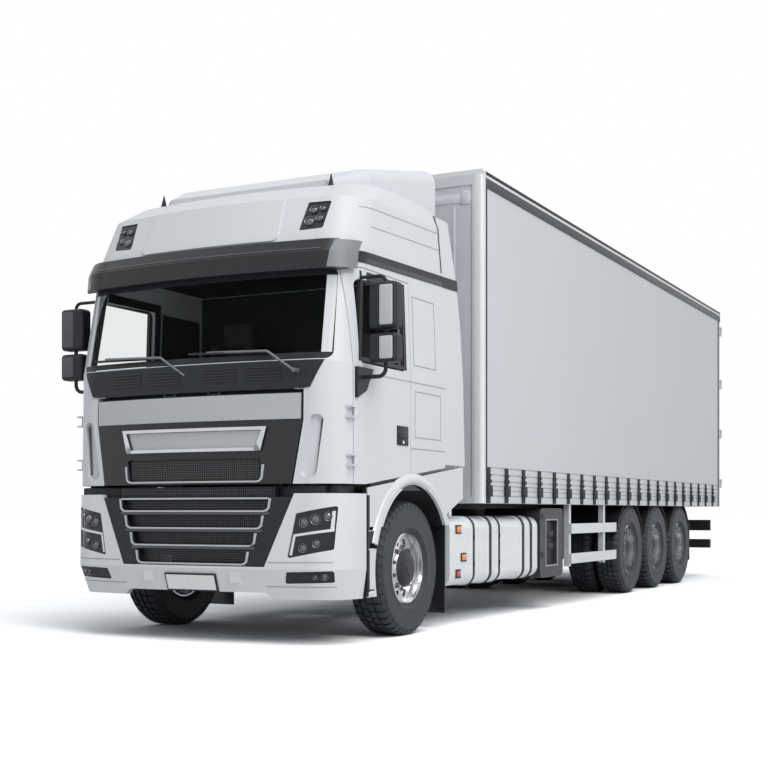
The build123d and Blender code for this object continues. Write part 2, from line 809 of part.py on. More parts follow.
def chassis_frame():
    """Ladder frame: channel rails, crossmembers, cab pivots and the cab's rear rests."""
    channel = [
        (RAIL_X, RAIL_BOTTOM),
        (RAIL_X, RAIL_TOP),
        (RAIL_X - RAIL_FLANGE, RAIL_TOP),
        (RAIL_X - RAIL_FLANGE, RAIL_TOP - RAIL_WEB),
        (RAIL_X - RAIL_WEB, RAIL_TOP - RAIL_WEB),
        (RAIL_X - RAIL_WEB, RAIL_BOTTOM + RAIL_WEB),
        (RAIL_X - RAIL_FLANGE, RAIL_BOTTOM + RAIL_WEB),
        (RAIL_X - RAIL_FLANGE, RAIL_BOTTOM),
    ]
    rail = along(channel, RAIL_FRONT_Y, RAIL_REAR_Y)
    pin = rod((RAIL_X, PIVOT_Y, PIVOT_Z), (RAIL_X + 75, PIVOT_Y, PIVOT_Z), PIVOT_R)
    rest_top = CAB_FLOOR - CAB_FLOOR_THICKNESS - SEAT
    rest = box(RAIL_X - RAIL_FLANGE, RAIL_X, CAB_REAR_Y - 260, CAB_REAR_Y - 120, RAIL_TOP, rest_top)
    frame = rail + pin + rest
    frame += other_side(frame)
    web = RAIL_X - RAIL_WEB
    mid = (RAIL_TOP + RAIL_BOTTOM) / 2
    frame += box(-web, web, RAIL_FRONT_Y, RAIL_FRONT_Y + CROSSMEMBER_WIDTH, RAIL_BOTTOM, RAIL_TOP)
    y = RAIL_REAR_Y - CROSSMEMBER_WIDTH
    while y > CAB_REAR_Y + 500:
        low = mid - CROSSMEMBER_HEIGHT / 2
        frame += box(-web, web, y, y + CROSSMEMBER_WIDTH, low, low + CROSSMEMBER_HEIGHT)
        y -= CROSSMEMBER_PITCH
    return frame


BEAM_HALF_WIDTH = 45
EYE_R = 62
EYE_HALF = 75
SPRING_HALF_LENGTH = 700
SPRING_LEAF = 34
SPRING_WIDTH = 78
AXLE_Z = TYRE_R


def front_axle_beam():
    """Dropped axle beam with kingpin eyes, and the two leaf springs clamped on it."""
    y0 = FRONT_AXLE_Y - BEAM_HALF_WIDTH
    y1 = FRONT_AXLE_Y + BEAM_HALF_WIDTH
    drop = AXLE_Z - 90
    bend = KINGPIN_X - 2 * EYE_R
    beam = along(
        [
            (-KINGPIN_X, AXLE_Z + 60),
            (-bend, AXLE_Z + 60),
            (-bend + 200, drop + 50),
            (bend - 200, drop + 50),
            (bend, AXLE_Z + 60),
            (KINGPIN_X, AXLE_Z + 60),
            (KINGPIN_X, AXLE_Z - 60),
            (bend, AXLE_Z - 60),
            (bend - 200, drop - 50),
            (-bend + 200, drop - 50),
            (-bend, AXLE_Z - 60),
            (-KINGPIN_X, AXLE_Z - 60),
        ],
        y0,
        y1,
    )
    spring_x = RAIL_X - RAIL_FLANGE / 2
    seat_z = drop + 50
    spring_top = RAIL_BOTTOM - 40
    made = beam
    for side in (-1, 1):
        x = side * KINGPIN_X
        eye = rod((x, FRONT_AXLE_Y, AXLE_Z - EYE_HALF), (x, FRONT_AXLE_Y, AXLE_Z + EYE_HALF), EYE_R)
        bore = rod(
            (x, FRONT_AXLE_Y, AXLE_Z - 2 * EYE_HALF),
            (x, FRONT_AXLE_Y, AXLE_Z + 2 * EYE_HALF),
            KINGPIN_R + RUNNING,
        )
        made = made + eye - bore
        x0 = side * spring_x - SPRING_WIDTH / 2
        pad = box(x0, x0 + SPRING_WIDTH, y0, y1, seat_z - 30, seat_z + 85)
        leaf = leaf_spring(x0, seat_z + 70, spring_top)
        made = made + pad + leaf
    return made


def leaf_spring(x0, seat_z, end_z):
    """One bowed leaf from hanger to shackle, with both hangers up to the rail."""
    ends = [FRONT_AXLE_Y - SPRING_HALF_LENGTH, FRONT_AXLE_Y + SPRING_HALF_LENGTH]
    lower = ThreePointArc((x0, ends[0], end_z), (x0, FRONT_AXLE_Y, seat_z), (x0, ends[1], end_z))
    up = SPRING_LEAF
    upper = ThreePointArc(
        (x0, ends[1], end_z + up), (x0, FRONT_AXLE_Y, seat_z + up), (x0, ends[0], end_z + up)
    )
    joins = [Line(lower @ 1, upper @ 0), Line(upper @ 1, lower @ 0)]
    face = make_face(Wire([lower, joins[0], upper, joins[1]]))
    leaf = extrude(face, SPRING_WIDTH, dir=(1, 0, 0))
    for y in ends:
        leaf += box(x0, x0 + SPRING_WIDTH, y - 40, y + 40, end_z, RAIL_BOTTOM)
    return leaf


def knuckle():
    """Left steering knuckle: forked ears, kingpin, stub axle and steering arm."""
    ear = 45
    gap = 1.0
    low = AXLE_Z - EYE_HALF - gap - ear
    high = AXLE_Z + EYE_HALF + gap
    x_in = KINGPIN_X - EYE_R
    x_face = KINGPIN_X + EYE_R + 12
    made = rod((KINGPIN_X, FRONT_AXLE_Y, low), (KINGPIN_X, FRONT_AXLE_Y, high + ear), KINGPIN_R)
    for z in (low, high):
        made += box(x_in, x_face + 40, FRONT_AXLE_Y - 60, FRONT_AXLE_Y + 60, z, z + ear)
    made += box(x_face, x_face + 40, FRONT_AXLE_Y - 75, FRONT_AXLE_Y + 75, low, high + ear)
    made += rod(
        (x_face, FRONT_AXLE_Y, AXLE_Z), (FRONT_WHEEL_X + 140, FRONT_AXLE_Y, AXLE_Z), SPINDLE_R
    )
    made += box(x_in, KINGPIN_X, FRONT_AXLE_Y + 55, FRONT_AXLE_Y + 230, low, low + 30)
    return made


HANGER_FORWARD = 470
BELLOWS_BACK = 320
ARM_WIDTH = 86
ARM_HEIGHT = 70
ARM_Z = AXLE_Z - 60
BELLOWS_R = 120
AXLE_TUBE_R = 68
AXLE_SHOULDER_X = 545
DIFF_R = 205


def rear_axles():
    """Three axle tubes with stub ends and trailing arms; the first carries the final drive."""
    made = []
    arm_x = RAIL_X - RAIL_FLANGE / 2
    for index, y in enumerate(REAR_AXLE_YS):
        axle = rod((-AXLE_SHOULDER_X, y, AXLE_Z), (AXLE_SHOULDER_X, y, AXLE_Z), AXLE_TUBE_R)
        stub_end = TWIN_OUTER_X + 40
        axle += rod((-stub_end, y, AXLE_Z), (stub_end, y, AXLE_Z), SPINDLE_R)
        if index == 0:
            axle += Pos(0, y, AXLE_Z) * Sphere(DIFF_R)
            axle += rod((0, y - DIFF_R - 90, AXLE_Z + 15), (0, y, AXLE_Z + 15), 85)
        for x in (-arm_x, arm_x):
            x0 = x - ARM_WIDTH / 2
            x1 = x0 + ARM_WIDTH
            low = ARM_Z - ARM_HEIGHT
            front_y = y - HANGER_FORWARD - 60
            axle += box(x0, x1, front_y, y + BELLOWS_BACK + 110, low, ARM_Z)
            axle += box(x0, x1, front_y, front_y + 120, low, RAIL_BOTTOM)
        made.append(axle)
    return made


def rear_air_bellows():
    """Rolling-lobe air springs between the trailing arms and the rails."""
    made = []
    height = RAIL_BOTTOM - ARM_Z
    lobe = [
        # share of the height, share of the radius
        (0.0, 0.62),
        (0.3, 0.72),
        (0.42, 1.0),
        (0.85, 1.0),
        (1.0, 0.8),
    ]
    profile = [(0, 0)]
    profile += [(share_r * BELLOWS_R, share_h * height) for share_h, share_r in lobe]
    profile += [(0, height)]
    face = make_face(Polyline(*[(x, 0, z) for x, z in profile], close=True))
    bellows = revolve(face, Axis.Z)
    for y in REAR_AXLE_YS:
        for x in (-RAIL_X + RAIL_FLANGE / 2, RAIL_X - RAIL_FLANGE / 2):
            made.append(Pos(x, y + BELLOWS_BACK, ARM_Z) * bellows)
    return made


ENGINE_FRONT_Y = FRONT + 620
ENGINE_REAR_Y = FRONT + 1780
ENGINE_HALF = 330
ENGINE_BOTTOM = 620
ENGINE_TOP = 1300
GEARBOX_REAR_Y = FRONT + 2700
SHAFT_R = 55


def power_unit():
    """Engine as one plain block, tapering gearbox and propeller shaft to the first rear axle."""
    engine = box(-ENGINE_HALF, ENGINE_HALF, ENGINE_FRONT_Y, ENGINE_REAR_Y, ENGINE_BOTTOM, ENGINE_TOP)
    ends = []
    for y, half, low, high in ((ENGINE_REAR_Y, 260, 640, 1080), (GEARBOX_REAR_Y, 140, 620, 830)):
        ends.append(outline([(-half, y, low), (half, y, low), (half, y, high), (-half, y, high)]))
    gearbox = loft(ends, ruled=True)
    nose_y = REAR_AXLE_YS[0] - DIFF_R - 90
    shaft = rod((0, GEARBOX_REAR_Y - 20, 700), (0, nose_y - 30, AXLE_Z + 15), SHAFT_R)
    flange = rod((0, nose_y - 60, AXLE_Z + 15), (0, nose_y, AXLE_Z + 15), 80)
    cushion_z = (ENGINE_BOTTOM + ENGINE_TOP) / 2
    mounts = box(-RAIL_X + RAIL_WEB, RAIL_X - RAIL_WEB, ENGINE_FRONT_Y + 300, ENGINE_FRONT_Y + 420, 780, 860)
    return engine + gearbox + shaft + flange + mounts


PLATE_HALF = 270
TOW_X = 360


def grille_outline(grow):
    """The bumper's grille opening in front view, open at the top."""
    return [
        (-GRILLE_TOP_HALF - grow, BUMPER_TOP + 20),
        (GRILLE_TOP_HALF + grow, BUMPER_TOP + 20),
        (GRILLE_BOTTOM_HALF + grow, GRILLE_BOTTOM - grow),
        (-GRILLE_BOTTOM_HALF - grow, GRILLE_BOTTOM - grow),
    ]


def front_bumper():
    """One-piece bumper shell with grille, headlamp and fog-lamp openings."""
    shell = bumper_block(0) - bumper_block(BUMPER_WALL)
    shell -= along(grille_outline(0), FRONT - 50, FRONT + 300)
    for points in (HEADLAMP, FOG_LAMP):
        hole = lamp(points, bumper_block(-20))
        hole &= box(0, FAR, FRONT - 50, BUMPER_REAR_Y, 0, BODY_TOP)
        shell -= hole
        shell -= other_side(hole)
    arch = along([(-720, 300), (720, 300), (620, 385), (-620, 385)], FRONT - 50, FRONT + 300)
    shell -= arch
    bracket_z = RAIL_BOTTOM
    for side in (-1, 1):
        x0 = side * (RAIL_X - 40) - 40
        stay = box(x0, x0 + 80, FRONT + 120, RAIL_FRONT_Y, bracket_z - 60, bracket_z + 40)
        shell += box(x0, x0 + 80, FRONT + 20, FRONT + 125, GRILLE_BOTTOM - 120, GRILLE_BOTTOM - 40)
        shell += box(x0, x0 + 80, FRONT + 100, RAIL_FRONT_Y, GRILLE_BOTTOM - 120, GRILLE_BOTTOM - 40)
        shell += box(x0, x0 + 80, RAIL_FRONT_Y - 30, RAIL_FRONT_Y, GRILLE_BOTTOM - 120, RAIL_BOTTOM + 100)
    return shell


def lower_grille():
    """Slatted lower grille: frame, slats and the mesh panel behind them."""
    skin = bumper_block(0)
    frame = (bumper_block(10) - bumper_block(GRILLE_SLAT_DEPTH)) & along(
        grille_outline(-SEAT), FRONT - 50, FRONT + 300
    )
    top = BUMPER_TOP - 25
    frame &= box(-FAR, FAR, FRONT - 50, FRONT + 400, 0, top)
    pitch = (top - GRILLE_BOTTOM) / LOWER_SLATS
    made = frame
    for row in range(LOWER_SLATS):
        low = GRILLE_BOTTOM + row * pitch + (GRILLE_SLAT_HEIGHT if row else GRILLE_FRAME / 3)
        high = GRILLE_BOTTOM + (row + 1) * pitch
        share = (low - GRILLE_BOTTOM) / (BUMPER_TOP - GRILLE_BOTTOM)
        half = GRILLE_BOTTOM_HALF + share * (GRILLE_TOP_HALF - GRILLE_BOTTOM_HALF) - 2.4 * GRILLE_FRAME
        window = [(-half - 25, high), (half + 25, high), (half, low), (-half, low)]
        made -= along(window, FRONT - 50, FRONT + 400, 18)
    plate = (bumper_block(GRILLE_SLAT_DEPTH - 8) - bumper_block(GRILLE_SLAT_DEPTH + 4)) & along(
        grille_outline(-GRILLE_FRAME), FRONT - 50, FRONT + 400
    )
    plate &= box(-FAR, FAR, FRONT - 50, FRONT + 400, 0, top)
    rise_y = BUMPER_SECTIONS[-1][1] + GRILLE_RISE_SETBACK
    rise = (BUMPER_TOP - 50, CAB_BOTTOM - GRILLE_RISE_GAP)
    walls = [
        loft(
            [level_section(z, rise_y, BUMPER_HALF, inset, BUMPER_REAR_Y) for z in rise],
            ruled=True,
        )
        for inset in (0, GRILLE_PLATE_THICKNESS)
    ]
    reach = half + 40
    band = (walls[0] - walls[1]) & box(-reach, reach, FRONT - 50, FRONT + 300, 0, BODY_TOP)
    return made + plate + band


def front_lamps():
    """Headlamps and fog lamps in the bumper."""
    skin = bumper_block(LAMP_SETBACK) - bumper_block(LAMP_SETBACK + LAMP_DEPTH)
    made = []
    for points in (HEADLAMP, FOG_LAMP):
        piece = lamp(inset_quad(points), skin)
        piece &= box(0, FAR, FRONT - 50, BUMPER_REAR_Y, 0, BODY_TOP)
        made += pair(piece)
    return made


ARCH_R = 660
FLARE_R = 735
FENDER_X0 = CAB_WIDTH / 2 - 50
FENDER_X1 = CAB_WIDTH / 2
FLARE_X1 = CAB_WIDTH / 2 + 18
FENDER_REAR_Y = FRONT + 2250
FENDER_GAP = 25
STEP_GAP = 30
STEP_FRONT_Y = BUMPER_REAR_Y + STEP_GAP
STEP_BOTTOM = 345
STEP_SLOTS = [
    # bottom, top of the openings over the two steps
    (700, 745),
    (835, 865),
]
STEP_DEPTH = 60
STEP_WALL = 22
MUD_FLAP_BOTTOM = 130
MUD_FLAP_THICKNESS = 10


def front_fenders():
    """Wheel-arch panels with flares, and the two entry steps ahead of the wheel."""
    top_front = CAB_BOTTOM - FENDER_GAP
    rear_bottom = 1090
    panel = across(
        [
            (STEP_FRONT_Y, STEP_BOTTOM),
            (STEP_FRONT_Y, top_front),
            (FENDER_REAR_Y, skirt_line(FENDER_REAR_Y) - FENDER_GAP),
            (FENDER_REAR_Y, rear_bottom),
            (FRONT_AXLE_Y + ARCH_R, rear_bottom - 120),
            (FRONT_AXLE_Y, STEP_BOTTOM),
        ],
        FENDER_X0,
        FENDER_X1,
    )
    arch = rod((0, FRONT_AXLE_Y, AXLE_Z), (CAB_WIDTH, FRONT_AXLE_Y, AXLE_Z), ARCH_R)
    ring = rod((FENDER_X0, FRONT_AXLE_Y, AXLE_Z), (FLARE_X1, FRONT_AXLE_Y, AXLE_Z), FLARE_R)
    ring &= box(0, CAB_WIDTH, FRONT, REAR, STEP_SLOTS[-1][1], top_front - 4)
    ring &= box(0, CAB_WIDTH, FRONT_AXLE_Y - FLARE_R, FRONT_AXLE_Y + ARCH_R, 0, BODY_TOP)
    liner_x = FENDER_X0 - 375
    liner = rod((liner_x, FRONT_AXLE_Y, AXLE_Z), (FENDER_X0, FRONT_AXLE_Y, AXLE_Z), ARCH_R + 12)
    liner &= box(0, CAB_WIDTH, FRONT, REAR, AXLE_Z + 330, 1147)
    back_x = FENDER_X0 - STEP_DEPTH
    carrier = box(back_x - STEP_WALL, back_x, STEP_FRONT_Y, FRONT_AXLE_Y, STEP_BOTTOM, STEP_SLOTS[-1][1])
    fender = panel + ring + liner
    for low, high in STEP_SLOTS:
        fender -= box(0, CAB_WIDTH, STEP_FRONT_Y - 5, FRONT_AXLE_Y - ARCH_R / 2, low, high)
    for top in (STEP_BOTTOM + STEP_WALL, STEP_SLOTS[0][0], STEP_SLOTS[1][0], STEP_SLOTS[1][1] + STEP_WALL):
        fender += box(back_x - STEP_WALL, FENDER_X0, STEP_FRONT_Y, FRONT_AXLE_Y, top - STEP_WALL, top)
    fender = fender + carrier - arch
    stay = box(RAIL_X, FENDER_X0 + 10, FRONT_AXLE_Y + ARCH_R + 20, FRONT_AXLE_Y + ARCH_R + 70, 940, 990)
    riser = box(FENDER_X0, FENDER_X1, FRONT_AXLE_Y + ARCH_R + 20, FRONT_AXLE_Y + ARCH_R + 70, 940, 1100)
    front_stay = box(RAIL_X, FENDER_X0 + 10, STEP_FRONT_Y + 20, STEP_FRONT_Y + 70, 770, 830)
    flap_y = FRONT_AXLE_Y + ARCH_R + 20
    mud_flap = box(
        FENDER_X0 - 290, FENDER_X0 + 10, flap_y, flap_y + MUD_FLAP_THICKNESS, MUD_FLAP_BOTTOM, 960
    )
    return pair(fender + stay + riser + front_stay + mud_flap)


BAY_FRONT_Y = FRONT + 2010
BAY_REAR_Y = REAR_AXLE_YS[0] - TYRE_R - 110
BAY_LENGTH = BAY_REAR_Y - BAY_FRONT_Y
TANK_FRONT_Y = BAY_FRONT_Y
TANK_LENGTH = 0.449 * BAY_LENGTH
TANK_TOP = 925
TANK_BOTTOM = 345
TANK_X0 = 610
TANK_X1 = WALL_X - 47
TANK_CORNER = 95
STRAP_OUT = 12
STRAPS = [
    # share of the tank's length to the centre, width
    (0.23, 45),
    (0.41, 60),
    (0.51, 45),
    (0.80, 65),
    (0.90, 65),
]


def tank_section(grow, y0, y1):
    """The tank's rounded section carried from y0 to y1."""
    return along(
        [
            (TANK_X0 - grow, TANK_BOTTOM - grow),
            (TANK_X1 + grow, TANK_BOTTOM - grow),
            (TANK_X1 + grow, TANK_TOP + grow),
            (TANK_X0 - grow, TANK_TOP + grow),
        ],
        y0,
        y1,
        TANK_CORNER + grow,
    )


def fuel_tank():
    """Left fuel tank with its straps and frame brackets."""
    tank = tank_section(0, TANK_FRONT_Y, TANK_FRONT_Y + TANK_LENGTH)
    for share, width in STRAPS:
        y = TANK_FRONT_Y + share * TANK_LENGTH
        tank += tank_section(STRAP_OUT, y - width / 2, y + width / 2)
    for share in (STRAPS[0][0], STRAPS[-1][0]):
        y = TANK_FRONT_Y + share * TANK_LENGTH
        tank += box(RAIL_X, TANK_X0 + 5, y - 30, y + 30, RAIL_BOTTOM + 20, RAIL_TOP - 60)
        tank += box(RAIL_X, TANK_X0 + 60, y - 30, y + 30, TANK_TOP - 120, TANK_TOP - 60)
    return tank


BATTERY_LENGTH = 0.145 * BAY_LENGTH
BATTERY_Y0 = TANK_FRONT_Y + TANK_LENGTH + 60
BATTERY_Y1 = BATTERY_Y0 + BATTERY_LENGTH
EXHAUST_Y0 = BAY_FRONT_Y + 20
EXHAUST_Y1 = EXHAUST_Y0 + 0.27 * BAY_LENGTH
BOX_X1 = WALL_X - 40


def side_boxes():
    """Battery box on the left with a recessed cover, exhaust silencer box on the right."""
    battery = across(
        [(BATTERY_Y0, 320), (BATTERY_Y1, 320), (BATTERY_Y1, 1010), (BATTERY_Y0, 1010)], 640, BOX_X1, 60
    )
    margin = BATTERY_LENGTH / 4
    recess = across(
        [
            (BATTERY_Y0 + margin, 440),
            (BATTERY_Y1 - margin, 440),
            (BATTERY_Y1 - margin, 890),
            (BATTERY_Y0 + margin, 890),
        ],
        BOX_X1 - 40,
        BOX_X1 + 60,
        50,
    )
    battery -= recess
    battery += box(RAIL_X, 660, BATTERY_Y0 + margin, BATTERY_Y0 + margin + 100, 780, 940)
    exhaust = across(
        [(EXHAUST_Y0, 330), (EXHAUST_Y1, 330), (EXHAUST_Y1, 930), (EXHAUST_Y0, 930)], -BOX_X1, -600, 80
    )
    exhaust += box(-620, -RAIL_X, EXHAUST_Y0 + 150, EXHAUST_Y0 + 250, 780, 920)
    exhaust += box(-620, -RAIL_X, EXHAUST_Y1 - 250, EXHAUST_Y1 - 150, 780, 920)
    return [battery, exhaust]


GUARD_REAR_Y = BAY_REAR_Y
GUARD_X1 = WALL_X - 25
GUARD_RAILS = [
    # bottom, top
    (430, 535),
    (745, 850),
]


def side_guards():
    """Two-rail side guards on posts from the deck, left and right."""
    made = []
    for side, front_y in ((1, BATTERY_Y1 + 0.05 * BAY_LENGTH), (-1, EXHAUST_Y1 + 0.07 * BAY_LENGTH)):
        guard = None
        for bottom, top in GUARD_RAILS:
            rail = box(GUARD_X1 - 28, GUARD_X1, front_y, GUARD_REAR_Y, bottom, top)
            guard = rail if guard is None else guard + rail
        for y in (front_y, GUARD_REAR_Y - 0.09 * BAY_LENGTH):
            guard += box(GUARD_X1 - 88, GUARD_X1 - 28, y, y + 60, GUARD_RAILS[0][0] - 30, DECK_BOTTOM)
        made.append(guard if side == 1 else other_side(guard))
    return made


MUDGUARD_R = TYRE_R + 35
MUDGUARD_THICKNESS = 14
MUDGUARD_X0 = 575
MUDGUARD_X1 = WALL_X - RAVE_WIDTH - 8
MUDGUARD_BOTTOM = 720


def rear_mudguards():
    """A half-round mudguard over each pair of twin wheels, hung from the deck."""
    made = []
    for y in REAR_AXLE_YS:
        outer = rod((MUDGUARD_X0, y, AXLE_Z), (MUDGUARD_X1, y, AXLE_Z), MUDGUARD_R + MUDGUARD_THICKNESS)
        inner = rod((MUDGUARD_X0, y, AXLE_Z), (MUDGUARD_X1, y, AXLE_Z), MUDGUARD_R)
        guard = outer - inner
        guard &= box(0, BODY_WIDTH, FRONT, REAR, MUDGUARD_BOTTOM, BODY_TOP)
        crown = AXLE_Z + MUDGUARD_R + MUDGUARD_THICKNESS / 2
        guard += box(MUDGUARD_X0 + 40, MUDGUARD_X0 + 120, y - 30, y + 30, crown, DECK_BOTTOM)
        if y == REAR_AXLE_YS[-1]:
            flap_y = y + sqrt(MUDGUARD_R**2 - (MUDGUARD_BOTTOM - AXLE_Z) ** 2)
            guard += box(MUDGUARD_X0, MUDGUARD_X1, flap_y, flap_y + 16, 300, MUDGUARD_BOTTOM + 80)
        made += pair(guard)
    return made


UNDERRUN_BOTTOM = 430
UNDERRUN_TOP = 560
UNDERRUN_HALF = 1160
UNDERRUN_Y = REAR - 190
LAMP_BOARD_Z = (690, 850)
EYE_BORE_R = 25
EYE_PLATE_THICKNESS = 40
EYE_CENTRE_Z = 640


def underrun_bar():
    """Rear underrun bar and lamp boards on drop brackets, with a recovery eye on each bracket."""
    bar = box(-UNDERRUN_HALF, UNDERRUN_HALF, UNDERRUN_Y - 100, UNDERRUN_Y, UNDERRUN_BOTTOM, UNDERRUN_TOP)
    made = fillet(bar.edges().filter_by(Axis.X), 22)
    for side in (-1, 1):
        x1 = RAIL_X + EYE_PLATE_THICKNESS
        drop = box(RAIL_X, x1, UNDERRUN_Y - 300, UNDERRUN_Y - 20, UNDERRUN_BOTTOM + 20, RAIL_TOP - 30)
        eye_y = UNDERRUN_Y - 220
        drop -= rod((RAIL_X - 10, eye_y, EYE_CENTRE_Z), (x1 + 10, eye_y, EYE_CENTRE_Z), EYE_BORE_R)
        board = box(x1 - 5, UNDERRUN_HALF, UNDERRUN_Y - 60, UNDERRUN_Y - 10, *LAMP_BOARD_Z)
        lens_y = UNDERRUN_Y - 10
        low, high = LAMP_BOARD_Z
        board += box(x1 + 200, UNDERRUN_HALF - 30, lens_y, lens_y + 30, low + 25, high - 25)
        half = drop + board
        made += half if side == 1 else other_side(half)
    return made


DECK_FRONT_Y = BODY_FRONT_Y + HEADBOARD_THICKNESS
FRAME_FRONT_Y = REAR_DOOR_Y - SEAT - POST_DEPTH
BEARER_WIDTH = 70


def load_floor():
    """Load deck with side raves, subframe runners on the rails and cross bearers."""
    deck_half = WALL_X - RAVE_WIDTH / 2
    deck = box(-deck_half, deck_half, DECK_FRONT_Y, FRAME_FRONT_Y, DECK_BOTTOM, DECK_TOP)
    for side in (-1, 1):
        x0 = min(side * (WALL_X - RAVE_WIDTH), side * (WALL_X - CURTAIN_THICKNESS - 4))
        x1 = max(side * (WALL_X - RAVE_WIDTH), side * (WALL_X - CURTAIN_THICKNESS - 4))
        deck += box(x0, x1, DECK_FRONT_Y, FRAME_FRONT_Y, RAVE_BOTTOM, DECK_TOP)
        runner_x = side * (RAIL_X - RAIL_FLANGE / 2)
        near = runner_x - RAIL_FLANGE / 2
        deck += box(near, near + RAIL_FLANGE, DECK_FRONT_Y, FRAME_FRONT_Y, RAIL_TOP, DECK_BOTTOM)
    return deck


def headboard():
    """Front wall of the load body between two rounded corner posts."""
    wall = box(-WALL_X, WALL_X, BODY_FRONT_Y, DECK_FRONT_Y, RAVE_BOTTOM, BODY_TOP - ROOF_THICKNESS)
    corners = wall.edges().filter_by(Axis.Z).group_by(Axis.Y)[0]
    wall = fillet(corners, HEADBOARD_THICKNESS * 0.8)
    panel = box(
        -WALL_X + 105, WALL_X - 105, BODY_FRONT_Y - 10, BODY_FRONT_Y + 14, RAVE_BOTTOM + 60, BODY_TOP - 130
    )
    return wall - panel


def body_roof():
    """Flat roof with a cant rail along each side."""
    roof = box(-WALL_X, WALL_X, BODY_FRONT_Y, BODY_REAR_Y, BODY_TOP - ROOF_THICKNESS, BODY_TOP)
    for side in (-1, 1):
        x0 = min(side * WALL_X, side * (WALL_X - CANT_WIDTH))
        low = BODY_TOP - CANT_HEIGHT
        roof += box(x0, x0 + CANT_WIDTH, DECK_FRONT_Y, FRAME_FRONT_Y, low, BODY_TOP - ROOF_THICKNESS)
    return fillet(roof.edges().filter_by(Axis.Y).group_by(Axis.Z)[-1], 18)


REAR_HINGE_X = WALL_X + HINGE_OUT
REAR_HINGE_Y = BODY_REAR_Y + HINGE_BEHIND
REAR_HINGE_ZS = [1400, 2150, 2900, 3700]
SILL_TOP = DECK_TOP
HEADER_BOTTOM = BODY_TOP - ROOF_THICKNESS - 110


def rear_frame():
    """Rear portal: two posts, sill and header, with hinge pins and dock buffers."""
    y1 = REAR_DOOR_Y - SEAT
    portal = box(-WALL_X, WALL_X, FRAME_FRONT_Y, y1, RAVE_BOTTOM, BODY_TOP - ROOF_THICKNESS)
    portal -= box(
        -WALL_X + POST_WIDTH, WALL_X - POST_WIDTH, FRAME_FRONT_Y - 10, y1 + 10, SILL_TOP, HEADER_BOTTOM
    )
    for side in (-1, 1):
        x0 = side * 900 - 90
        portal += box(x0, x0 + 180, y1 - 5, REAR, RAVE_BOTTOM, RAVE_BOTTOM + 110)
        for z in REAR_HINGE_ZS:
            ears = hinge_ears(z)
            portal += ears if side == 1 else other_side(ears)
    return portal


def hinge_ears(z):
    """A rear door hinge's pin with an ear above and below the knuckle."""
    half = KNUCKLE_LENGTH / 2
    ear = 20
    made = rod(
        (REAR_HINGE_X, REAR_HINGE_Y, z - half - ear),
        (REAR_HINGE_X, REAR_HINGE_Y, z + half + ear),
        HINGE_PIN_R,
    )
    for low in (z - half - ear, z + half + 1):
        made += box(
            REAR_HINGE_X - 9, REAR_HINGE_X + 11, REAR_DOOR_Y - 40, REAR_HINGE_Y + 9, low, low + ear - 1
        )
    return made


REAR_DOOR_BOTTOM = RAVE_BOTTOM + 125
REAR_DOOR_TOP = BODY_TOP - ROOF_THICKNESS - 6
REAR_DOOR_OUTER_X = WALL_X - 14


def rear_door():
    """Left rear door with hinge straps, knuckles and two locking bars."""
    y1 = BODY_REAR_Y
    door = box(SHUT_GAP / 2, REAR_DOOR_OUTER_X, REAR_DOOR_Y, y1, REAR_DOOR_BOTTOM, REAR_DOOR_TOP)
    for x in (260, 800):
        bar_y = y1 + 26
        door += rod((x, bar_y, REAR_DOOR_BOTTOM + 20), (x, bar_y, REAR_DOOR_TOP - 20), 17)
        for z in REAR_HINGE_ZS:
            door += box(x - 35, x + 35, y1 - 2, bar_y + 8, z - 40, z + 40)
    for z in REAR_HINGE_ZS:
        half = KNUCKLE_LENGTH / 2
        door += box(900, REAR_HINGE_X - 4, y1 - 2, y1 + HINGE_BEHIND, z - half, z + half)
        door += rod((REAR_HINGE_X, REAR_HINGE_Y, z - half), (REAR_HINGE_X, REAR_HINGE_Y, z + half), KNUCKLE_R)
        door -= rod(
            (REAR_HINGE_X, REAR_HINGE_Y, z - 2 * half),
            (REAR_HINGE_X, REAR_HINGE_Y, z + 2 * half),
            HINGE_PIN_R + RUNNING,
        )
    return door


def curtains():
    """Side curtains, hung from the cant rails and strapped below the raves."""
    x0 = WALL_X - CURTAIN_THICKNESS - 4 + SEAT
    curtain = box(
        x0,
        x0 + CURTAIN_THICKNESS,
        DECK_FRONT_Y + SEAT,
        FRAME_FRONT_Y - SEAT,
        RAVE_BOTTOM + 5,
        BODY_TOP - CANT_HEIGHT - SEAT,
    )
    return pair(curtain)


# Mirrors
MIRROR_X0 = CAB_WIDTH / 2 + 75
MIRROR_WIDTH = 225
MIRROR_Y0 = DOOR_FRONT_Y + 60
MIRROR_DEPTH = 130
MIRROR_HEADS = [
    # bottom, top
    (2055, 2270),
    (2300, 2640),
]


